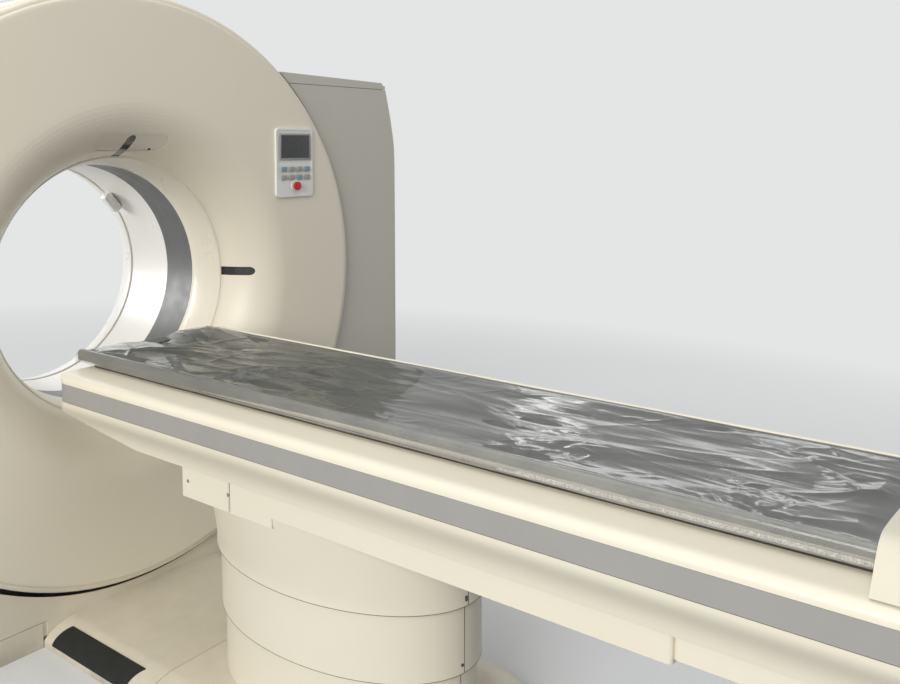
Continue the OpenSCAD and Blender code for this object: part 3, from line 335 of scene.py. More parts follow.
def make_softener():
    """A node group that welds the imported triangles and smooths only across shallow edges."""
    group = bpy.data.node_groups.new("soften", "GeometryNodeTree")
    group.interface.new_socket("Geometry", in_out="INPUT", socket_type="NodeSocketGeometry")
    group.interface.new_socket("Geometry", in_out="OUTPUT", socket_type="NodeSocketGeometry")
    add, link = group.nodes.new, group.links.new
    start, end = add("NodeGroupInput"), add("NodeGroupOutput")
    strip = add("GeometryNodeRemoveAttribute")
    strip.inputs["Name"].default_value = "custom_normal"
    weld = add("GeometryNodeMergeByDistance")
    weld.inputs["Distance"].default_value = WELD_GAP
    faces = add("GeometryNodeSetShadeSmooth")
    edges = add("GeometryNodeSetShadeSmooth")
    edges.domain = "EDGE"
    angle = add("GeometryNodeInputMeshEdgeAngle")
    shallow = add("FunctionNodeCompare")
    shallow.data_type = "FLOAT"
    shallow.operation = "LESS_THAN"
    shallow.inputs[1].default_value = SMOOTH_BELOW
    link(start.outputs[0], strip.inputs["Geometry"])
    link(strip.outputs["Geometry"], weld.inputs["Geometry"])
    link(weld.outputs["Geometry"], faces.inputs["Geometry"])
    link(faces.outputs["Geometry"], edges.inputs["Geometry"])
    link(angle.outputs["Unsigned Angle"], shallow.inputs[0])
    link(shallow.outputs["Result"], edges.inputs["Shade Smooth"])
    link(edges.outputs["Geometry"], end.inputs[0])
    return group


def soften_frame():
    """Nodes that the packer left faceted get smooth shading; their own meshes stay as packed."""
    group = make_softener()
    for obj in frame["nodes"].values():
        smooth = np.zeros(len(obj.data.polygons), bool)
        obj.data.polygons.foreach_get("use_smooth", smooth)
        if smooth.mean() > SMOOTH_SHARE:
            continue
        obj.modifiers.new("soften", "NODES").node_group = group
        weighted = obj.modifiers.new("weighted", "WEIGHTED_NORMAL")
        weighted.keep_sharp = True


soften_frame()


# Meshes and pieces
def new_piece(name, mesh, material, body, smooth=True, placed=None):
    """An object of one mesh and one material that moves with a body of the frame."""
    obj = bpy.data.objects.new(name, mesh)
    bpy.context.scene.collection.objects.link(obj)
    if placed:
        obj.matrix_world = placed
    mesh.materials.clear()
    mesh.materials.append(material)
    if smooth:
        shade_smooth(mesh)
        mesh.update()
    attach(obj, body)
    return obj


def grid_mesh(name, points):
    """A mesh from an array of rows, columns and three coordinates."""
    rows, cols = points.shape[:2]
    index = np.arange(rows * cols).reshape(rows, cols)
    quads = np.stack([index[:-1, :-1], index[:-1, 1:], index[1:, 1:], index[1:, :-1]], -1).reshape(-1, 4)
    mesh = bpy.data.meshes.new(name)
    mesh.from_pydata(points.reshape(-1, 3).tolist(), [], quads.tolist())
    mesh.update()
    return mesh


def vertices_of(mesh):
    points = np.zeros(len(mesh.vertices) * 3)
    mesh.vertices.foreach_get("co", points)
    return points.reshape(-1, 3)


def set_vertices(mesh, points):
    mesh.vertices.foreach_set("co", points.astype(np.float32).ravel())
    mesh.update()


def shade_smooth(mesh):
    mesh.polygons.foreach_set("use_smooth", [True] * len(mesh.polygons))


def evaluated_mesh(obj):
    bpy.context.view_layer.update()
    graph = bpy.context.evaluated_depsgraph_get()
    return bpy.data.meshes.new_from_object(obj.evaluated_get(graph))


def faces_outward(mesh):
    edit = bmesh.new()
    edit.from_mesh(mesh)
    bmesh.ops.recalc_face_normals(edit, faces=edit.faces)
    edit.to_mesh(mesh)
    edit.free()


def noise_at(a, b, c):
    """Blender's noise at each pair of values from two arrays and one number."""
    return np.array([noise.noise(Vector((p, q, c))) for p, q in zip(a.ravel(), b.ravel())]).reshape(a.shape)


# Mattress: a thin pad in the dish of the tabletop
MAT_LOW, MAT_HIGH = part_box("mattress")
PAD_HALF = MAT_HIGH.x - 0.003
PAD_END = 0.014  # length over which the pad's ends round off
PAD_EDGE = 0.009  # width over which its sides round off
PAD_CORNER = 0.075  # radius of its corners at the head
PAD_HOLLOW = 0.0072  # how far its middle lies below its sides
PAD_SWELL_CAP = 0.004  # farthest that the filling moves a point
PAD_STATIONS, PAD_ACROSS = 216, 42
DISH_FLAT, DISH_SIDE = 0.12, 0.092  # flat half width of the dish, and the width of its rising side
DISH_RISE = 0.0205
SEAM_IN, SEAM_DEPTH, SEAM_HALF = 0.017, 0.0016, 0.0028  # its place in from the edge, depth, half width


def dish_z(x):
    """Height of the tabletop's dish under the pad."""
    return MAT_LOW.z + 0.0004 + DISH_RISE * np.clip((np.abs(x) - DISH_FLAT) / DISH_SIDE, 0, 1.1) ** 2


def pad_top_z(x):
    """Height of the pad's top before it is filled."""
    return MAT_HIGH.z - 0.0016 - PAD_HOLLOW * (1 - np.clip(np.abs(x) / PAD_HALF, 0, 1) ** 2)


def pad_half_at(y):
    """Half width of the pad at y: square at the foot, rounded at the head."""
    into = np.clip((y - (MAT_HIGH.y - PAD_CORNER)) / PAD_CORNER, 0, 1)
    return PAD_HALF - PAD_CORNER * (1 - np.sqrt(1 - into**2 * 0.995))


def pad_mesh():
    """A closed loft: rings of points round the pad's section, from the foot end to the head end."""
    low, high = MAT_LOW.y + 0.002, MAT_HIGH.y - 0.002
    ends = PAD_END * (1 - np.cos(np.linspace(0, math.pi / 2, 6)))
    stations = np.concatenate([low + ends, np.linspace(low, high, PAD_STATIONS)[2:-2], (high - ends)[::-1]])
    across = np.sin(np.linspace(-math.pi / 2, math.pi / 2, PAD_ACROSS))
    rings = []
    for y in stations:
        near_end = min(y - low, high - y)
        full = math.sqrt(max(0.0, 1 - max(0.0, 1 - near_end / PAD_END) ** 2))
        half = pad_half_at(y)
        x = across * half
        top, under = pad_top_z(x * PAD_HALF / half), dish_z(x)
        middle = (top + under) / 2
        edge = np.sqrt(np.clip(1 - np.clip((np.abs(x) - half + PAD_EDGE) / PAD_EDGE, 0, 1) ** 2, 0, 1))
        thick = np.maximum((top - under) / 2, 0.001) * np.maximum(edge * full, 0.02)
        upper = np.stack([x, np.full_like(x, y), middle + thick], 1)
        lower = np.stack([x, np.full_like(x, y), middle - thick], 1)[::-1]
        rings.append(np.concatenate([upper, lower]))
    rings = np.array(rings)
    count, around = rings.shape[:2]
    faces = [
        (i + j, i + (j + 1) % around, i + around + (j + 1) % around, i + around + j)
        for i in range(0, (count - 1) * around, around)
        for j in range(around)
    ]
    half = around // 2
    for i in (0, count - 1):
        faces += [
            (i * around + j, i * around + j + 1, i * around + around - 2 - j, i * around + around - 1 - j)
            for j in range(half - 1)
        ]
    mesh = bpy.data.meshes.new("pad")
    mesh.from_pydata(rings.reshape(-1, 3).tolist(), [], faces)
    faces_outward(mesh)
    return mesh


def inflate(obj, frames=20):
    """Fills the pad under pressure, without gravity, and caps how far a point may move."""
    before = vertices_of(obj.data)
    cloth = obj.modifiers.new("cloth", "CLOTH")
    cloth.settings.quality = 5
    cloth.settings.use_pressure = True
    cloth.settings.uniform_pressure_force = 4
    cloth.settings.effector_weights.gravity = 0
    cloth.settings.tension_stiffness = 40
    cloth.settings.bending_stiffness = 2
    cloth.point_cache.frame_start = 1
    cloth.point_cache.frame_end = frames
    for f in range(1, frames + 1):
        bpy.context.scene.frame_set(f)
    moved = vertices_of(evaluated_mesh(obj)) - before
    length = np.linalg.norm(moved, axis=1, keepdims=True)
    moved *= np.minimum(1, PAD_SWELL_CAP / np.maximum(length, 1e-9))
    obj.modifiers.remove(cloth)
    bpy.context.scene.frame_set(1)
    set_vertices(obj.data, before + moved)


def subdivided(obj, levels=1):
    modifier = obj.modifiers.new("subdivide", "SUBSURF")
    modifier.levels = modifier.render_levels = levels
    obj.data = evaluated_mesh(obj)
    obj.modifiers.clear()


def make_mattress():
    """The filled pad, with the sewn groove along its edge pressed into its top."""
    obj = new_piece("mattress_pad", pad_mesh(), MAT["mattress_grey"], "sliding_top")
    inflate(obj)
    subdivided(obj)
    points = vertices_of(obj.data)
    x, y, z = points.T
    inside = np.minimum(pad_half_at(y) - np.abs(x), np.minimum(y - MAT_LOW.y, MAT_HIGH.y - y))
    middle = (pad_top_z(x) + dish_z(x)) / 2
    groove = SEAM_DEPTH * np.exp(-(((inside - SEAM_IN) / SEAM_HALF) ** 2))
    z = np.where(z > middle, z - groove, z)
    z = np.clip(z, dish_z(x), MAT_HIGH.z + 0.003)
    set_vertices(obj.data, np.stack([np.clip(x, MAT_LOW.x, MAT_HIGH.x), y, z], 1))
    obj.data.materials.clear()
    obj.data.materials.append(MAT["mattress_grey"])
    shade_smooth(obj.data)
    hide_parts("mattress")


make_mattress()


# Clear protective film over the mattress and the tabletop's near rim
TOP_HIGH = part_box("tabletop")[1]
RIM_X, RIM_TOP = TOP_HIGH.x, TOP_HIGH.z
FILM_HEAD = TOP_HIGH.y + 0.012
FILM_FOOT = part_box("end_grip")[1].y + 0.002
FILM_ROWS, FILM_ACROSS = 540, 128
FILM_OVER_PAD = 0.0065
FILM_ABOVE_PAD = 0.0012  # least height of a fold's bottom over the pad
FILM_FADE = 0.03  # width over which the folds fade out toward the rims
FLUTTER, FLUTTER_UNEVEN = 0.0012, 0.0022  # how far the hanging edge stands out, and how unevenly
FOOT_FADE, FOOT_FLAT = 0.05, 0.9  # length over which the folds fade at the foot, and by how much
HEAD_DROOP = 0.016
# Creases: count, x range, y range, spread of the heading from the long axis, length, half width, height
CREASES = (
    (44, (-0.20, 0.20), (-2.5, -1.2), 0.30, (0.14, 0.50), (0.006, 0.016), (0.0004, 0.0015)),
    (34, (-0.19, 0.19), (-1.45, -0.42), 0.45, (0.16, 0.46), (0.008, 0.020), (0.0016, 0.0056)),
    (20, (-0.20, 0.16), (-1.10, -0.42), 0.90, (0.06, 0.20), (0.005, 0.012), (0.0016, 0.0050)),
    (9, (-0.135, -0.125), (-0.985, -0.970), 1.30, (0.10, 0.26), (0.004, 0.008), (0.003, 0.0065)),
    (120, (-0.225, -0.15), (-2.52, -0.42), 0.70, (0.02, 0.075), (0.0028, 0.006), (0.0005, 0.0018)),
    (50, (0.14, 0.225), (-2.52, -0.42), 0.80, (0.03, 0.09), (0.003, 0.006), (0.0005, 0.0018)),
    (30, (-0.16, -0.04), (-2.00, -1.82), 0.9, (0.015, 0.06), (0.003, 0.006), (0.0008, 0.0026)),
    (26, (-0.17, -0.07), (-2.42, -2.28), 1.1, (0.015, 0.06), (0.003, 0.006), (0.0008, 0.0030)),
    (5, (-0.05, 0.10), (-2.50, -2.42), 0.9, (0.08, 0.16), (0.008, 0.014), (0.004, 0.007)),
)
# Slow swells: reach in x and y, and height
BILLOWS = ((0.10, 0.34, 0.0075), (0.05, 0.15, 0.0026), (0.022, 0.06, 0.0005))
# Raised tents: centre x and y, reach in x and y, and height
TENTS = (
    (0.15, -0.47, 0.13, 0.17, 0.026),
    (-0.03, -0.62, 0.10, 0.22, 0.008),
    (0.02, -2.50, 0.16, 0.11, 0.012),
    (-0.10, -0.98, 0.06, 0.08, 0.007),
)


def film_profile():
    """Points across the film: the near hanging edge, the pad, and the far rim, where it is tucked in."""
    near = np.array([
        [-RIM_X - 0.0035, 0.8485],
        [-RIM_X - 0.0040, 0.8640],
        [-RIM_X - 0.0036, RIM_TOP - 0.003],
        [-RIM_X + 0.001, RIM_TOP + 0.0035],
        [-RIM_X + 0.011, RIM_TOP + 0.0042],
    ])
    far = np.array([[RIM_X - 0.022, RIM_TOP - 0.0045], [RIM_X - 0.0185, RIM_TOP - 0.0015]])
    inner_x = np.linspace(-RIM_X + 0.030, RIM_X - 0.030, 15)
    inner = np.stack([inner_x, pad_top_z(inner_x) + FILM_OVER_PAD], 1)
    line = np.concatenate([near, inner, far])
    steps = np.concatenate([[0], np.cumsum(np.linalg.norm(np.diff(line, axis=0), axis=1))])
    at = np.linspace(0, steps[-1], FILM_ACROSS)
    smooth = np.stack([np.interp(at, steps, line[:, i]) for i in (0, 1)], 1)
    for _ in range(2):
        smooth[1:-1] = (smooth[:-2] + 2 * smooth[1:-1] + smooth[2:]) / 4
    return smooth


def creases(rng, x, y):
    """Sharp creases: many small ones near the long edges, fewer long ones along the pad."""
    height = np.zeros_like(x)
    for count, xs, ys, spread, lengths, widths, heights in CREASES:
        for _ in range(count):
            cx, cy = rng.uniform(*xs), rng.uniform(*ys)
            heading = rng.normal(0, spread)
            length, width = rng.uniform(*lengths), rng.uniform(*widths)
            rise = rng.uniform(*heights) * rng.choice((1, 1, -0.5))
            bend = rng.normal(0, 0.5)
            near = (np.abs(x - cx) < length + 0.03) & (np.abs(y - cy) < length + 0.03)
            px, py = x[near] - cx, y[near] - cy
            along = px * math.sin(heading) + py * math.cos(heading)
            off = px * math.cos(heading) - py * math.sin(heading) - bend * along**2
            fade = np.clip(1 - (along / length) ** 2, 0, 1)
            height[near] += rise * fade * np.exp(-np.abs(off) / width)
    return height


def billows(x, y):
    """The film's slow swells, larger along the table than across it."""
    swell = np.zeros_like(x)
    for i, (reach_x, reach_y, rise) in enumerate(BILLOWS):
        swell += rise * noise_at(x / reach_x, y / reach_y, 3.7 * i + 0.3)
    return swell


def tents(x, y):
    total = np.zeros_like(x)
    for cx, cy, rx, ry, rise in TENTS:
        total += rise * np.clip(1 - np.hypot((x - cx) / rx, (y - cy) / ry), 0, 1) ** 1.3
    return total


def make_film():
    """A grid that follows the profile, lifted into folds where it is loose, uneven where it hangs."""
    profile = film_profile()
    y = np.linspace(FILM_HEAD, FILM_FOOT, FILM_ROWS)
    x_grid, y_grid = np.meshgrid(profile[:, 0], y)
    z_grid = np.tile(profile[:, 1], (FILM_ROWS, 1))
    rng = np.random.default_rng(SEED)
    loose = np.clip(np.minimum(RIM_X - 0.004 + x_grid, RIM_X - 0.014 - x_grid) / FILM_FADE, 0, 1)
    lift = creases(rng, x_grid, y_grid) + billows(x_grid, y_grid) + tents(x_grid, y_grid)
    ground = pad_top_z(x_grid) + FILM_ABOVE_PAD
    z_grid = np.where(loose > 0, np.maximum(z_grid + lift * loose, np.minimum(ground, z_grid)), z_grid)
    hanging = np.clip((RIM_TOP - 0.002 - z_grid) / 0.02, 0, 1) * (x_grid < 0.003 - RIM_X)
    flutter = noise_at(9 * y_grid, 60 * z_grid, 0.5)
    x_grid = x_grid + np.sign(x_grid) * hanging * (FLUTTER + FLUTTER_UNEVEN * flutter)
    foot = np.clip((FILM_FOOT + FOOT_FADE - y_grid) / FOOT_FADE, 0, 1)
    z_grid = z_grid - foot * np.clip(z_grid - profile[:, 1], 0, 1) * FOOT_FLAT
    beyond = np.clip((y_grid - TOP_HIGH.y) / (FILM_HEAD - TOP_HIGH.y), 0, 1)
    z_grid = z_grid - beyond**2 * HEAD_DROOP
    mesh = grid_mesh("film", np.stack([x_grid, y_grid, z_grid], -1))
    obj = new_piece("mattress_film", mesh, MAT["film"], "sliding_top")
    return obj


def film_material():
    """Clear polyethylene: close over the grey pad, and clear and milky past the rims and the head end; the
    milky white past the sides is partly a painted sheen that grows toward the foot.
    """
    m = Mat("film", 0.13, Specular_IOR_Level=0.75)
    haze = m.noise(14, 5, 0.65, at=m.scaled(1, 0.35, 1))
    past_side = m.span(m.math("ABSOLUTE", m.axis("X")), 0.222, 0.236)
    past_head = m.span(m.axis("Y"), MAT_HIGH.y - 0.010, MAT_HIGH.y + 0.008)
    past = m.math("MAXIMUM", past_side, past_head)
    over = m.ramp(haze, (0.3, lin(88, 90, 86)), (0.75, lin(108, 109, 104)))
    clear = m.ramp(haze, (0.3, lin(150, 150, 145)), (0.75, lin(190, 189, 182)))
    m.set("Base Color", m.mix(past, over, clear))
    m.set("Roughness", m.ramp(m.noise(60, 3), (0.3, 0.10), (0.75, 0.2)))
    slant = m.tree.nodes.new("ShaderNodeLayerWeight")
    slant.inputs["Blend"].default_value = 0.35
    cover = m.span(slant.outputs["Facing"], 0.0, 1.0, 0.62, 0.94)
    # Painted sheen: past the sides the film gets more opaque and paler toward the foot
    sheen_toward_foot = m.math("MULTIPLY", past_side, m.span(m.axis("Y"), -0.8, -1.9, 0.0, 0.24))
    thin = m.math("ADD", m.span(slant.outputs["Facing"], 0.0, 1.0, 0.26, 0.62), sheen_toward_foot)
    m.set("Alpha", m.math("SUBTRACT", cover, m.math("MULTIPLY", past, m.math("SUBTRACT", cover, thin))))
    m.set("Normal", m.bump(m.noise(220, 3, at=m.scaled(1, 0.4, 1)), 0.0004, 0.25))
    return m.mat


MAT["film"] = film_material()
film = make_film()


# Grey cover of the mattress, folded over the tabletop's rims and head edge
SKIRT_IN = 0.045  # width of its turned edge on the pad
SKIRT_INSIDE, SKIRT_UNDER = 0.0017, 0.0018  # how far it lies inside the film's edges and under the film
SKIRT_RIPPLE = 0.0006
SKIRT_FULL, SKIRT_SHORT = -0.70, -1.55  # from where its edge rises toward the foot, and where it stays
SKIRT_Z, SKIRT_UP = 0.8535, 0.0115  # height of its edge, and how far it rises
SKIRT_HEAD_Z = ((0.8525,), (0.868,), (0.879,))  # rows of its edge at the head end


def make_skirt():
    """A U of cloth just inside the film, with the part over the pad cut out."""
    profile = film_profile()
    profile[:, 0] -= np.sign(profile[:, 0]) * SKIRT_INSIDE * (np.abs(profile[:, 0]) > RIM_X - 0.02)
    profile[:, 1] -= SKIRT_UNDER * (np.abs(profile[:, 0]) < RIM_X + 0.001)
    head = TOP_HIGH.y + np.array([0.0025, 0.0025, 0.002, 0.0])
    y = np.concatenate([head, np.linspace(TOP_HIGH.y - 0.004, FILM_FOOT, 260)])
    x_grid, y_grid = np.meshgrid(profile[:, 0], y)
    drop = np.clip((SKIRT_FULL - y_grid) / (SKIRT_FULL - SKIRT_SHORT), 0, 1)
    edge_z = SKIRT_Z + SKIRT_UP * drop * drop * (3 - 2 * drop)
    z_grid = np.maximum(np.tile(profile[:, 1], (len(y), 1)), edge_z)
    z_grid[:3] = np.minimum(z_grid[:3], np.array(SKIRT_HEAD_Z))
    x_grid = x_grid + np.sign(x_grid) * SKIRT_RIPPLE * noise_at(30 * x_grid, 16 * y_grid, 9.1)
    mesh = grid_mesh("skirt", np.stack([x_grid, y_grid, z_grid], -1))
    edit = bmesh.new()
    edit.from_mesh(mesh)
    middles = ((face, face.calc_center_median()) for face in edit.faces)
    inner = [f for f, at in middles if abs(at.x) < PAD_HALF - SKIRT_IN and at.y < MAT_HIGH.y - SKIRT_IN]
    bmesh.ops.delete(edit, geom=inner, context="FACES")
    edit.to_mesh(mesh)
    edit.free()
    obj = new_piece("mattress_cover_edge", mesh, MAT["mattress_grey"], "sliding_top")


make_skirt()


# Welded seam of the film along its near edge
WELD_HEAD = -1.86
WELD_OUT, WELD_Z, WELD_WIDE = 0.0058, 0.8530, 0.0085
RIB_STEP, RIB_RISE = 0.0052, 0.0007


def make_film_weld():
    """A narrow ribbed band, ribs across the film's edge."""
    y = np.linspace(WELD_HEAD, FILM_FOOT, 420)
    across = np.linspace(0, 1, 7)
    rng = np.random.default_rng(SEED + 1)
    ribs = RIB_RISE * np.abs(np.sin(y * math.pi / RIB_STEP)) * rng.uniform(0.5, 1.0, len(y))
    x = -(RIM_X + WELD_OUT + ribs[:, None] * np.sin(across * math.pi)[None, :])
    z = WELD_Z + WELD_WIDE * across[None, :] + np.zeros_like(x)
    mesh = grid_mesh("weld", np.stack([x, np.repeat(y[:, None], len(across), 1), z], -1))
    obj = new_piece("film_weld", mesh, MAT["film_weld"], "sliding_top", smooth=False)
    obj.parent = film
    obj.matrix_parent_inverse = Matrix.Identity(4)


def weld_material():
    m = Mat("film_weld", 0.14, Specular_IOR_Level=0.6)
    m.set("Base Color", m.ramp(m.noise(120, 3), (0.3, lin(186, 186, 181)), (0.7, lin(222, 222, 216))))
    m.set("Alpha", m.ramp(m.noise(260, 2), (0.3, 0.35), (0.7, 0.7)))
    m.set("Normal", m.bump(m.noise(700, 2), 0.0004, 0.4))
    return m.mat


MAT["film_weld"] = weld_material()
make_film_weld()


# Building blocks of the small pieces
SHARP_ABOVE = math.radians(40)
# Half section of a countersunk screw with a round socket, in shares of its radius
SCREW_SHAPE = ((0, -0.45), (0.42, -0.45), (0.46, 0.10), (0.86, 0.14), (1, 0.0), (1, -0.5), (0, -0.5))
SCREW_PROUD = 0.0002
TURNED_SIDES = 28
LINE_SUNK, RING_SUNK = 0.0008, 0.0012  # how far joint lines and rings reach into their surface


def lathe(name, profile, material, body, segments=240):
    """A closed ring turned about the bore axis, from (radius, y) points."""
    turn = np.linspace(0, 2 * math.pi, segments, endpoint=False)
    points = [(r * math.cos(t), y, ISO_Z + r * math.sin(t)) for t in turn for r, y in profile]
    n = len(profile)
    faces = []
    for i in range(segments):
        this, after = i * n, (i + 1) % segments * n
        faces += [(this + j, this + (j + 1) % n, after + (j + 1) % n, after + j) for j in range(n)]
    mesh = bpy.data.meshes.new(name)
    mesh.from_pydata(points, [], faces)
    faces_outward(mesh)
    return new_piece(name, mesh, material, body)


def rounded_box(name, low, high, radius, material, body, segments=3):
    """A box with rounded edges, for keys, bezels, louvres and the pod."""
    mesh = bpy.data.meshes.new(name)
    edit = bmesh.new()
    bmesh.ops.create_cube(edit, size=1)
    size, middle = np.subtract(high, low), np.add(high, low) / 2
    bmesh.ops.scale(edit, vec=size.tolist(), verts=edit.verts)
    bmesh.ops.translate(edit, vec=middle.tolist(), verts=edit.verts)
    radius = min(radius, 0.45 * float(size.min()))
    bmesh.ops.bevel(edit, geom=edit.edges[:], offset=radius, segments=segments, profile=0.5, affect="EDGES")
    edit.to_mesh(mesh)
    edit.free()
    obj = new_piece(name, mesh, material, body)
    mesh.set_sharp_from_angle(angle=SHARP_ABOVE)
    return obj


def turned_piece(name, profile, material, at, normal, body):
    """A solid of revolution on a surface, from (radius, height) points that start and end on its axis."""
    turn = np.linspace(0, 2 * math.pi, TURNED_SIDES, endpoint=False)
    (_, top), *rings, (_, bottom) = profile
    points = [(r * math.cos(t), r * math.sin(t), z) for r, z in rings for t in turn]
    points += [(0, 0, top), (0, 0, bottom)]
    n, last = TURNED_SIDES, TURNED_SIDES * (len(rings) - 1)
    faces = []
    for j in range(n):
        k = (j + 1) % n
        faces += [(len(points) - 2, j, k), (len(points) - 1, last + k, last + j)]
        faces += [(i + j, i + n + j, i + n + k, i + k) for i in range(0, last, n)]
    mesh = bpy.data.meshes.new(name)
    mesh.from_pydata(points, [], faces)
    faces_outward(mesh)
    placed = Matrix.Translation(at) @ Vector(normal).to_track_quat("Z", "Y").to_matrix().to_4x4()
    return new_piece(name, mesh, material, body, smooth=False, placed=placed)


def screw(name, at, normal, body, radius=0.0045):
    """A screw that lies almost flush in a surface."""
    profile = [(radius * r, radius * z) for r, z in SCREW_SHAPE]
    at = Vector(at) + Vector(normal).normalized() * SCREW_PROUD
    obj = turned_piece(name, profile, MAT["screw_steel"], at, normal, body)
    shade_smooth(obj.data)
    obj.data.set_sharp_from_angle(angle=SHARP_ABOVE)


def joint_line(name, start, end, normal, body, width, rise=0.0004, count=8, material="seam_shadow"):
    """A thin straight strip on a surface, such as the shadow of a joint."""
    out = Vector(normal).normalized()
    side = (Vector(end) - Vector(start)).normalized().cross(out).normalized() * (width / 2)
    rows = []
    for point in np.linspace(start, end, count):
        sunk, proud = Vector(point) - out * LINE_SUNK, Vector(point) + out * rise
        rows.append([sunk - side, proud - side, proud + side, sunk + side])
    new_piece(name, grid_mesh(name, np.array(rows)), MAT[material], body, smooth=False)


def outline(node, z, reach=0.0015):
    """The outer outline of a CAD node at the height z, as an ordered ring of points in plan."""
    flat = [v.co.to_2d() for v in frame["nodes"][node].data.vertices if abs(v.co.z - z) < reach]
    return np.array([flat[i][:] for i in convex_hull_2d(flat)])


def ring(name, plan, low, high, proud, material, body):
    """A thin band round a plan outline, from one height to another."""
    middle = plan.mean(0)
    ahead = np.roll(plan, -1, 0) - np.roll(plan, 1, 0)
    out = np.stack([ahead[:, 1], -ahead[:, 0]], 1)
    out /= np.linalg.norm(out, axis=1, keepdims=True)
    out *= np.sign((out * (plan - middle)).sum(1, keepdims=True))
    inner, outer = plan - out * RING_SUNK, plan + out * proud
    section = ((inner, low), (outer, low), (outer, high), (inner, high))
    columns = [np.column_stack([p, np.full(len(p), z)]) for p, z in section]
    points = np.stack([np.concatenate([c, c[:1]]) for c in columns], 1)
    new_piece(name, grid_mesh(name, points), MAT[material], body, smooth=False)


def mouth_line(node, y0, y1, count):
    """(radius, y) points down a ring-shaped cover's mouth: its smallest radius at each depth."""
    points = vertices_of(frame["nodes"][node].data)
    radius = np.hypot(points[:, 0], points[:, 2] - ISO_Z)
    depth = points[:, 1]
    line = []
    for y in np.linspace(y0, y1, count):
        near = np.abs(depth - y) < abs(y1 - y0) / count
        if near.any():
            line.append((radius[near].min(), y))
    return line


# Inside the bore: the pale lining of the mouth with the crisp lip that catches the light, the pod,
# rounded like a pebble, and the white lining of the rear mouth
LINING = (
    (0.3915, -0.076), (0.3893, -0.079), (0.3911, -0.104), (0.3951, -0.133), (0.4006, -0.160),
    (0.4066, -0.184), (0.4111, -0.200), (0.4128, -0.2045), (0.4155, -0.2072), (0.4190, -0.2066),
    (0.4215, -0.2036), (0.4190, -0.1960), (0.4110, -0.1680), (0.4030, -0.1330), (0.3960, -0.1000),
)
POD_AT = (0.2822, 0.264, 1.2668)
POD_HALF = Vector((0.0186, 0.0238, 0.0415))
POD_ROUND = 0.0155
POD_TURN = math.radians(40)
REAR_MOUTH = (0.300, 0.418)  # y range of the rear lining
REAR_PROUD, REAR_SUNK = 0.0016, 0.0006


def make_bore_pieces():
    lining = lathe("bore_mouth_lining", LINING, MAT["lining_pale"], "gantry", segments=300)
    pod = rounded_box("bore_pod_shell", -POD_HALF, POD_HALF, POD_ROUND, MAT["pod_white"], "gantry", 8)
    pod.data.transform(Matrix.Translation(POD_AT) @ Matrix.Rotation(-POD_TURN, 4, "Y"))
    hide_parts("bore_pod")
    skin = mouth_line("rear_cover", *REAR_MOUTH, 9)
    profile = [(r - REAR_PROUD, y) for r, y in skin] + [(r + REAR_SUNK, y) for r, y in skin[::-1]]
    rear_lining = lathe("bore_rear_lining", profile, MAT["cover_pale"], "gantry")


make_bore_pieces()


# Rear: fasteners on the shoulder of the rear cover, and louvres and a service panel on each stand
FASTENERS, FASTENER_R = 8, 0.0075
SHOULDER_R, SHOULDER_Y = 0.870, 0.4224
SHOULDER_OUT, SHOULDER_BACK = 0.498, 0.867  # shares of the shoulder's normal
STAND_Y = 0.420
LOUVRES, LOUVRE_PITCH = 11, 0.021
LOUVRE_X, LOUVRE_Z = (0.96, 1.12), 0.26
LOUVRE_GAP, LOUVRE_LIP = 0.009, 0.0035
PANEL_X, PANEL_Z, PANEL_JOINT = (0.952, 1.155), (0.185, 1.62), 0.0022
PANEL_SCREW_X, PANEL_SCREW_Z = (0.975, 1.132), (0.215, 1.59)


def make_fasteners():
    for i in range(FASTENERS):
        turn = 2 * math.pi * (i + 0.5) / FASTENERS
        out = Vector((math.cos(turn), 0, math.sin(turn)))
        normal = out * SHOULDER_OUT + Vector((0, SHOULDER_BACK, 0))
        at = Vector((0, SHOULDER_Y, ISO_Z)) + out * SHOULDER_R
        screw(f"rear_fastener_{i}", at, normal, "gantry", FASTENER_R)


def make_stand_rear(side, tag):
    x0, x1 = sorted(side * x for x in LOUVRE_X)
    for i in range(LOUVRES):
        z = LOUVRE_Z + LOUVRE_PITCH * i
        # The gap strips are dark to paint the shade inside the louvre openings
        for what, low, high, proud, radius, look in (
            ("gap", z, z + LOUVRE_GAP, 0.0006, 0.0006, "gap_black"),
            ("lip", z + LOUVRE_GAP, z + LOUVRE_GAP + LOUVRE_LIP, 0.0045, 0.0015, "stand_grey"),
        ):
            corners = (x0, STAND_Y - 0.001, low), (x1, STAND_Y + proud, high)
            rounded_box(f"{tag}_louvre_{what}_{i}", *corners, radius, MAT[look], "root")
    corner = [[(side * x, STAND_Y, z) for z in PANEL_Z] for x in PANEL_X]
    for k in (0, 1):
        joint_line(f"{tag}_panel_joint_{k}", corner[0][k], corner[1][k], (0, 1, 0), "root", PANEL_JOINT)
    for k in (0, 1):
        joint_line(f"{tag}_panel_side_{k}", corner[k][0], corner[k][1], (0, 1, 0), "root", PANEL_JOINT)
    for k, (z, x) in enumerate((z, x) for z in PANEL_SCREW_Z for x in PANEL_SCREW_X):
        screw(f"{tag}_panel_screw_{k}", (side * x, STAND_Y, z), (0, 1, 0), "root", 0.006)


make_fasteners()
for side, tag in SIDES:
    make_stand_rear(side, tag)


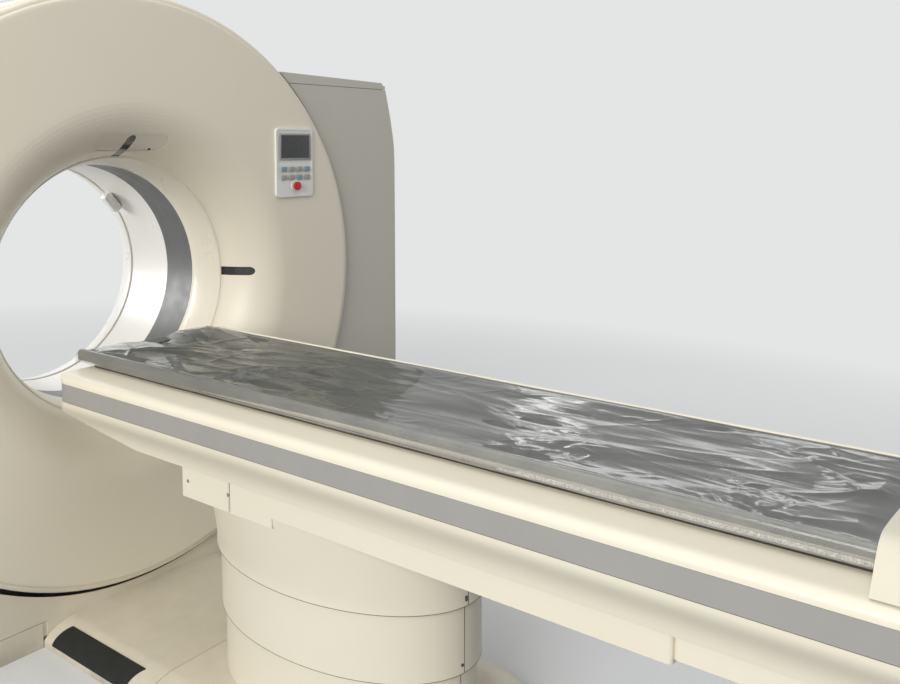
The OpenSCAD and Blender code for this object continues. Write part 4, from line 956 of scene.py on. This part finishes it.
# Control panels: display with its frame, and keys; and the status light above the bore
PANEL_EDGE = 0.020  # bare edge left and right of the display and the keys
DISPLAY_DROP = (0.024, 0.108)  # its ends, down from the panel's top
DISPLAY_FRAME = 0.006
KEY_ROWS, KEY_COLUMNS, KEY_DROP, KEY_PITCH = 2, 4, 0.148, 0.030
KEY_WIDE, KEY_TALL = 0.026, 0.018
LIGHT_SHAPE = (
    (0, 0.0016), (0.0018, 0.0014), (0.0026, 0.0006), (0.0034, 0.0012), (0.0044, 0.0010),
    (0.0050, -0.001), (0, -0.001),
)
LIGHT_AT, LIGHT_NORMAL = (0.0852, -0.2714, 1.4710), (-0.16, -0.53, -0.83)


def make_panel_face(tag):
    low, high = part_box(f"{tag}_control_panel")

    def plate(name, x0, x1, z0, z1, proud, radius, look):
        corners = (x0, low.y - proud, z0), (x1, low.y + 0.001, z1)
        rounded_box(f"{tag}_{name}", *corners, radius, MAT[look], "gantry")

    x0, x1 = low.x + PANEL_EDGE, high.x - PANEL_EDGE
    z0, z1 = high.z - DISPLAY_DROP[1], high.z - DISPLAY_DROP[0]
    rim = DISPLAY_FRAME
    plate("display", x0, x1, z0, z1, 0.0012, 0.004, "laser_glass")
    plate("display_frame", x0 - rim, x1 + rim, z0 - rim, z1 + rim, 0.0006, 0.005, "trim_grey")
    for row in range(KEY_ROWS):
        z = high.z - KEY_DROP - KEY_PITCH * row
        for col in range(KEY_COLUMNS):
            x = x0 + (x1 - x0 - KEY_WIDE) * col / (KEY_COLUMNS - 1)
            look = "trim_grey" if (row + col) % 3 else "key_blue"
            ends = x, x + KEY_WIDE, z - KEY_TALL / 2, z + KEY_TALL / 2
            plate(f"key_{row}{col}", *ends, 0.0026, 0.0035, look)


for _, tag in SIDES:
    make_panel_face(tag)
turned_piece("status_light", LIGHT_SHAPE, MAT["laser_glass"], LIGHT_AT, LIGHT_NORMAL, "gantry")


# Pedestal: wiper lips of its sliding shells, coloured dark to paint the shadow line under each shell's edge,
# and the split joint of all three, with its screws
SHELLS = (
    ("pedestal_section_lower", "root"),
    ("pedestal_section_mid", "mid_stage"),
    ("pedestal_section_upper", "lift"),
)
LIP_DOWN, LIP_UP, LIP_PROUD = 0.0004, 0.0011, 0.0003
SPLIT_X = -0.0225
SPLIT_TOP_UPPER = 0.444  # under the upper section's head


def make_lip(node, body):
    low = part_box(node)[0].z
    ring(f"{node}_lip", outline(node, low), low - LIP_DOWN, low + LIP_UP, LIP_PROUD, "wiper_lip_shadow", body)


def make_split(node, body):
    """The joint runs down the oval's foot side, a little left of its middle."""
    low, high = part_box(node)
    top = SPLIT_TOP_UPPER if body == "lift" else high.z - 0.004
    plan = outline(node, low.z)
    half_x, near, far = np.abs(plan[:, 0]).max(), plan[:, 1].min(), plan[:, 1].max()
    half_y = (far - near) / 2
    y = near + half_y * (1 - math.sqrt(1 - (SPLIT_X / half_x) ** 2))
    front = Vector((SPLIT_X / half_x**2, (y - plan[:, 1].mean()) / half_y**2, 0)).normalized()
    ends = (SPLIT_X, y, low.z + 0.0015), (SPLIT_X, y, top)
    joint_line(f"{node}_split", *ends, front, body, 0.0013, count=10)
    for i, z in enumerate((low.z + 0.022, top - 0.018)):
        screw(f"{node}_screw_{i}", (SPLIT_X - 0.007, y - 0.00015, z), front, body, 0.0038)


for node, body in SHELLS[1:]:
    make_lip(node, body)
for node, body in SHELLS:
    make_split(node, body)


# Table: shadow joints at the grey band and the under box, and painted shadow lines under and along the
# tabletop's edge
UNDER_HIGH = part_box("under_box_covers")[1]
UNDER_SCREWS = ((-0.9422, 0.6309), (-1.0989, 0.6319), (-2.690, 0.632))  # (y, z)
UNDER_LINE_X, UNDER_LINE_Y = 0.2884, (-2.70, -0.93)
UNDER_JOINT_Y, UNDER_JOINT_Z = -1.105, (0.590, 0.664)
TOP_EDGE_Y = (FILM_FOOT + 0.002, TOP_HIGH.y - 0.075)
# Painted shadow lines of the tabletop's edge: name, x, z, width and material
EDGE_LINES = (
    ("top_gap_shadow", 0.2372, 0.8440, 0.0042, "gap_black"),
    ("rim_line", 0.2394, 0.8508, 0.0014, "seam_shadow"),
)


def make_band_joints():
    low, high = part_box("carrier_side_band")
    for tag, z, down, up in (("upper", high.z, 0.0004, 0.0006), ("lower", low.z, 0.0006, 0.0004)):
        plan = outline("carrier_side_band", z)
        ring(f"band_joint_{tag}", plan, z - down, z + up, 0.0004, "seam_shadow", "lift")


def make_table_lines():
    for side, tag in SIDES:
        start, end = ((side * UNDER_LINE_X, y, UNDER_HIGH.z - 0.0006) for y in UNDER_LINE_Y)
        joint_line(f"under_box_line_{tag}", start, end, (side, 0, 0), "lift", 0.0026, 0.0008, 30)
    for side, tag in SIDES:
        for name, x, z, width, look in EDGE_LINES:
            start, end = ((side * x, y, z) for y in TOP_EDGE_Y)
            joint_line(f"{name}_{tag}", start, end, (side, 0, 0), "sliding_top", width, 0.0006, 30, look)


def make_under_box_screws():
    for i, (y, z) in enumerate(UNDER_SCREWS):
        for side, tag in SIDES:
            screw(f"under_box_screw_{tag}_{i}", (side * UNDER_HIGH.x, y, z), (side, 0, 0), "lift")
    for side, tag in SIDES:
        start, end = ((side * UNDER_HIGH.x, UNDER_JOINT_Y, z) for z in UNDER_JOINT_Z)
        joint_line(f"under_box_joint_{tag}", start, end, (side, 0, 0), "lift", 0.0016, 0.0003)


make_band_joints()
make_table_lines()
make_under_box_screws()


# Lights, floor and world
def area_light(name, at, target, size, power, colour):
    data = bpy.data.lights.new(name, "AREA")
    data.shape = "RECTANGLE"
    data.size, data.size_y = size
    data.energy = power
    data.color = colour
    obj = bpy.data.objects.new(name, data)
    bpy.context.scene.collection.objects.link(obj)
    obj.location = at
    obj.rotation_euler = (Vector(target) - Vector(at)).to_track_quat("-Z", "Y").to_euler()


BACKDROP = lin(228, 229, 229)
DAYLIGHT, DAYLIGHT_POWER = (0.98, 0.99, 1.0, 1), 0.39


def make_world():
    """A pale backdrop where it is seen, and a softer light from it everywhere else."""
    world = bpy.data.worlds.new("world")
    bpy.context.scene.world = world
    world.use_nodes = True
    tree = world.node_tree
    tree.nodes.clear()
    out = tree.nodes.new("ShaderNodeOutputWorld")
    seen = tree.nodes.new("ShaderNodeBackground")
    seen.inputs[0].default_value = BACKDROP
    lit = tree.nodes.new("ShaderNodeBackground")
    lit.inputs[0].default_value = DAYLIGHT
    lit.inputs[1].default_value = DAYLIGHT_POWER
    mixed = tree.nodes.new("ShaderNodeMixShader")
    tree.links.new(seen_ray(tree), mixed.inputs[0])
    tree.links.new(lit.outputs[0], mixed.inputs[1])
    tree.links.new(seen.outputs[0], mixed.inputs[2])
    tree.links.new(mixed.outputs[0], out.inputs[0])


def seen_ray(tree):
    """1 for camera, glossy and transmission rays, and 0 for the rest."""
    path = tree.nodes.new("ShaderNodeLightPath")
    last = path.outputs["Is Camera Ray"]
    for name in ("Is Glossy Ray", "Is Transmission Ray"):
        either = tree.nodes.new("ShaderNodeMath")
        either.operation = "MAXIMUM"
        tree.links.new(last, either.inputs[0])
        tree.links.new(path.outputs[name], either.inputs[1])
        last = either.outputs[0]
    return last


def make_floor():
    """A pale floor that fades into the backdrop."""
    mesh = bpy.data.meshes.new("floor")
    edit = bmesh.new()
    bmesh.ops.create_circle(edit, cap_ends=True, segments=96, radius=60)
    edit.to_mesh(mesh)
    edit.free()
    obj = bpy.data.objects.new("floor", mesh)
    bpy.context.scene.collection.objects.link(obj)
    m = Mat("floor", 0.6)
    seen = seen_ray(m.tree)
    pale = m.ramp(m.noise(1.2, 4), (0.3, lin(214, 216, 217)), (0.7, lin(219, 221, 222)))
    m.set("Base Color", m.mix(seen, lin(118, 120, 122), pale))
    glow = m.tree.nodes.new("ShaderNodeEmission")
    glow.inputs[0].default_value = BACKDROP
    far = m.tree.nodes.new("ShaderNodeVectorMath")
    far.operation = "LENGTH"
    m.link(m.scaled(1, 0.8, 1), far.inputs[0])
    blend = m.tree.nodes.new("ShaderNodeMixShader")
    m.link(m.math("MULTIPLY", m.span(far.outputs["Value"], 1.6, 5.0), seen), blend.inputs[0])
    m.link(m.bsdf.outputs[0], blend.inputs[1])
    m.link(glow.outputs[0], blend.inputs[2])
    m.link(blend.outputs[0], m.out.inputs[0])
    mesh.materials.append(m.mat)


# Name, place, target, width and height, power in watts, and colour
LIGHTS = (
    ("key", (-5.3, -2.3, 2.9), (0, -1.3, 0.8), (3.4, 2.4), 216, (1.0, 0.99, 0.975)),
    ("overhead", (-0.2, -1.5, 4.3), (0.0, -1.4, 0), (4.6, 3.4), 56, (1.0, 0.995, 0.985)),
    ("window", (-3.9, -2.9, 1.9), (0, -1.7, 0.6), (2.0, 1.4), 26, (0.99, 0.995, 1.0)),
    ("glint_mid", (2.60, -0.24, 2.10), (-0.15, -1.90, 0.88), (0.30, 0.17), 1.15, (1, 1, 1)),
    ("glint_foot", (2.63, -1.46, 2.06), (-0.13, -2.34, 0.88), (0.26, 0.15), 0.75, (1, 1, 1)),
    ("far_side", (3.9, -0.6, 1.5), (0, -1.5, 0.85), (2.4, 0.8), 7, (1, 1, 1)),
    ("rear_fill", (2.5, 4.2, 3.0), (0, 0, 1.0), (3.0, 2.5), 36, (0.97, 0.985, 1.0)),
    ("bore_rear", (-1.3, 2.2, 1.5), (0.25, 0.15, 1.0), (1.2, 1.0), 50, (1, 1, 1)),
)
make_world()
make_floor()
for light in LIGHTS:
    area_light(*light)

bpy.context.scene.view_settings.view_transform = "Standard"
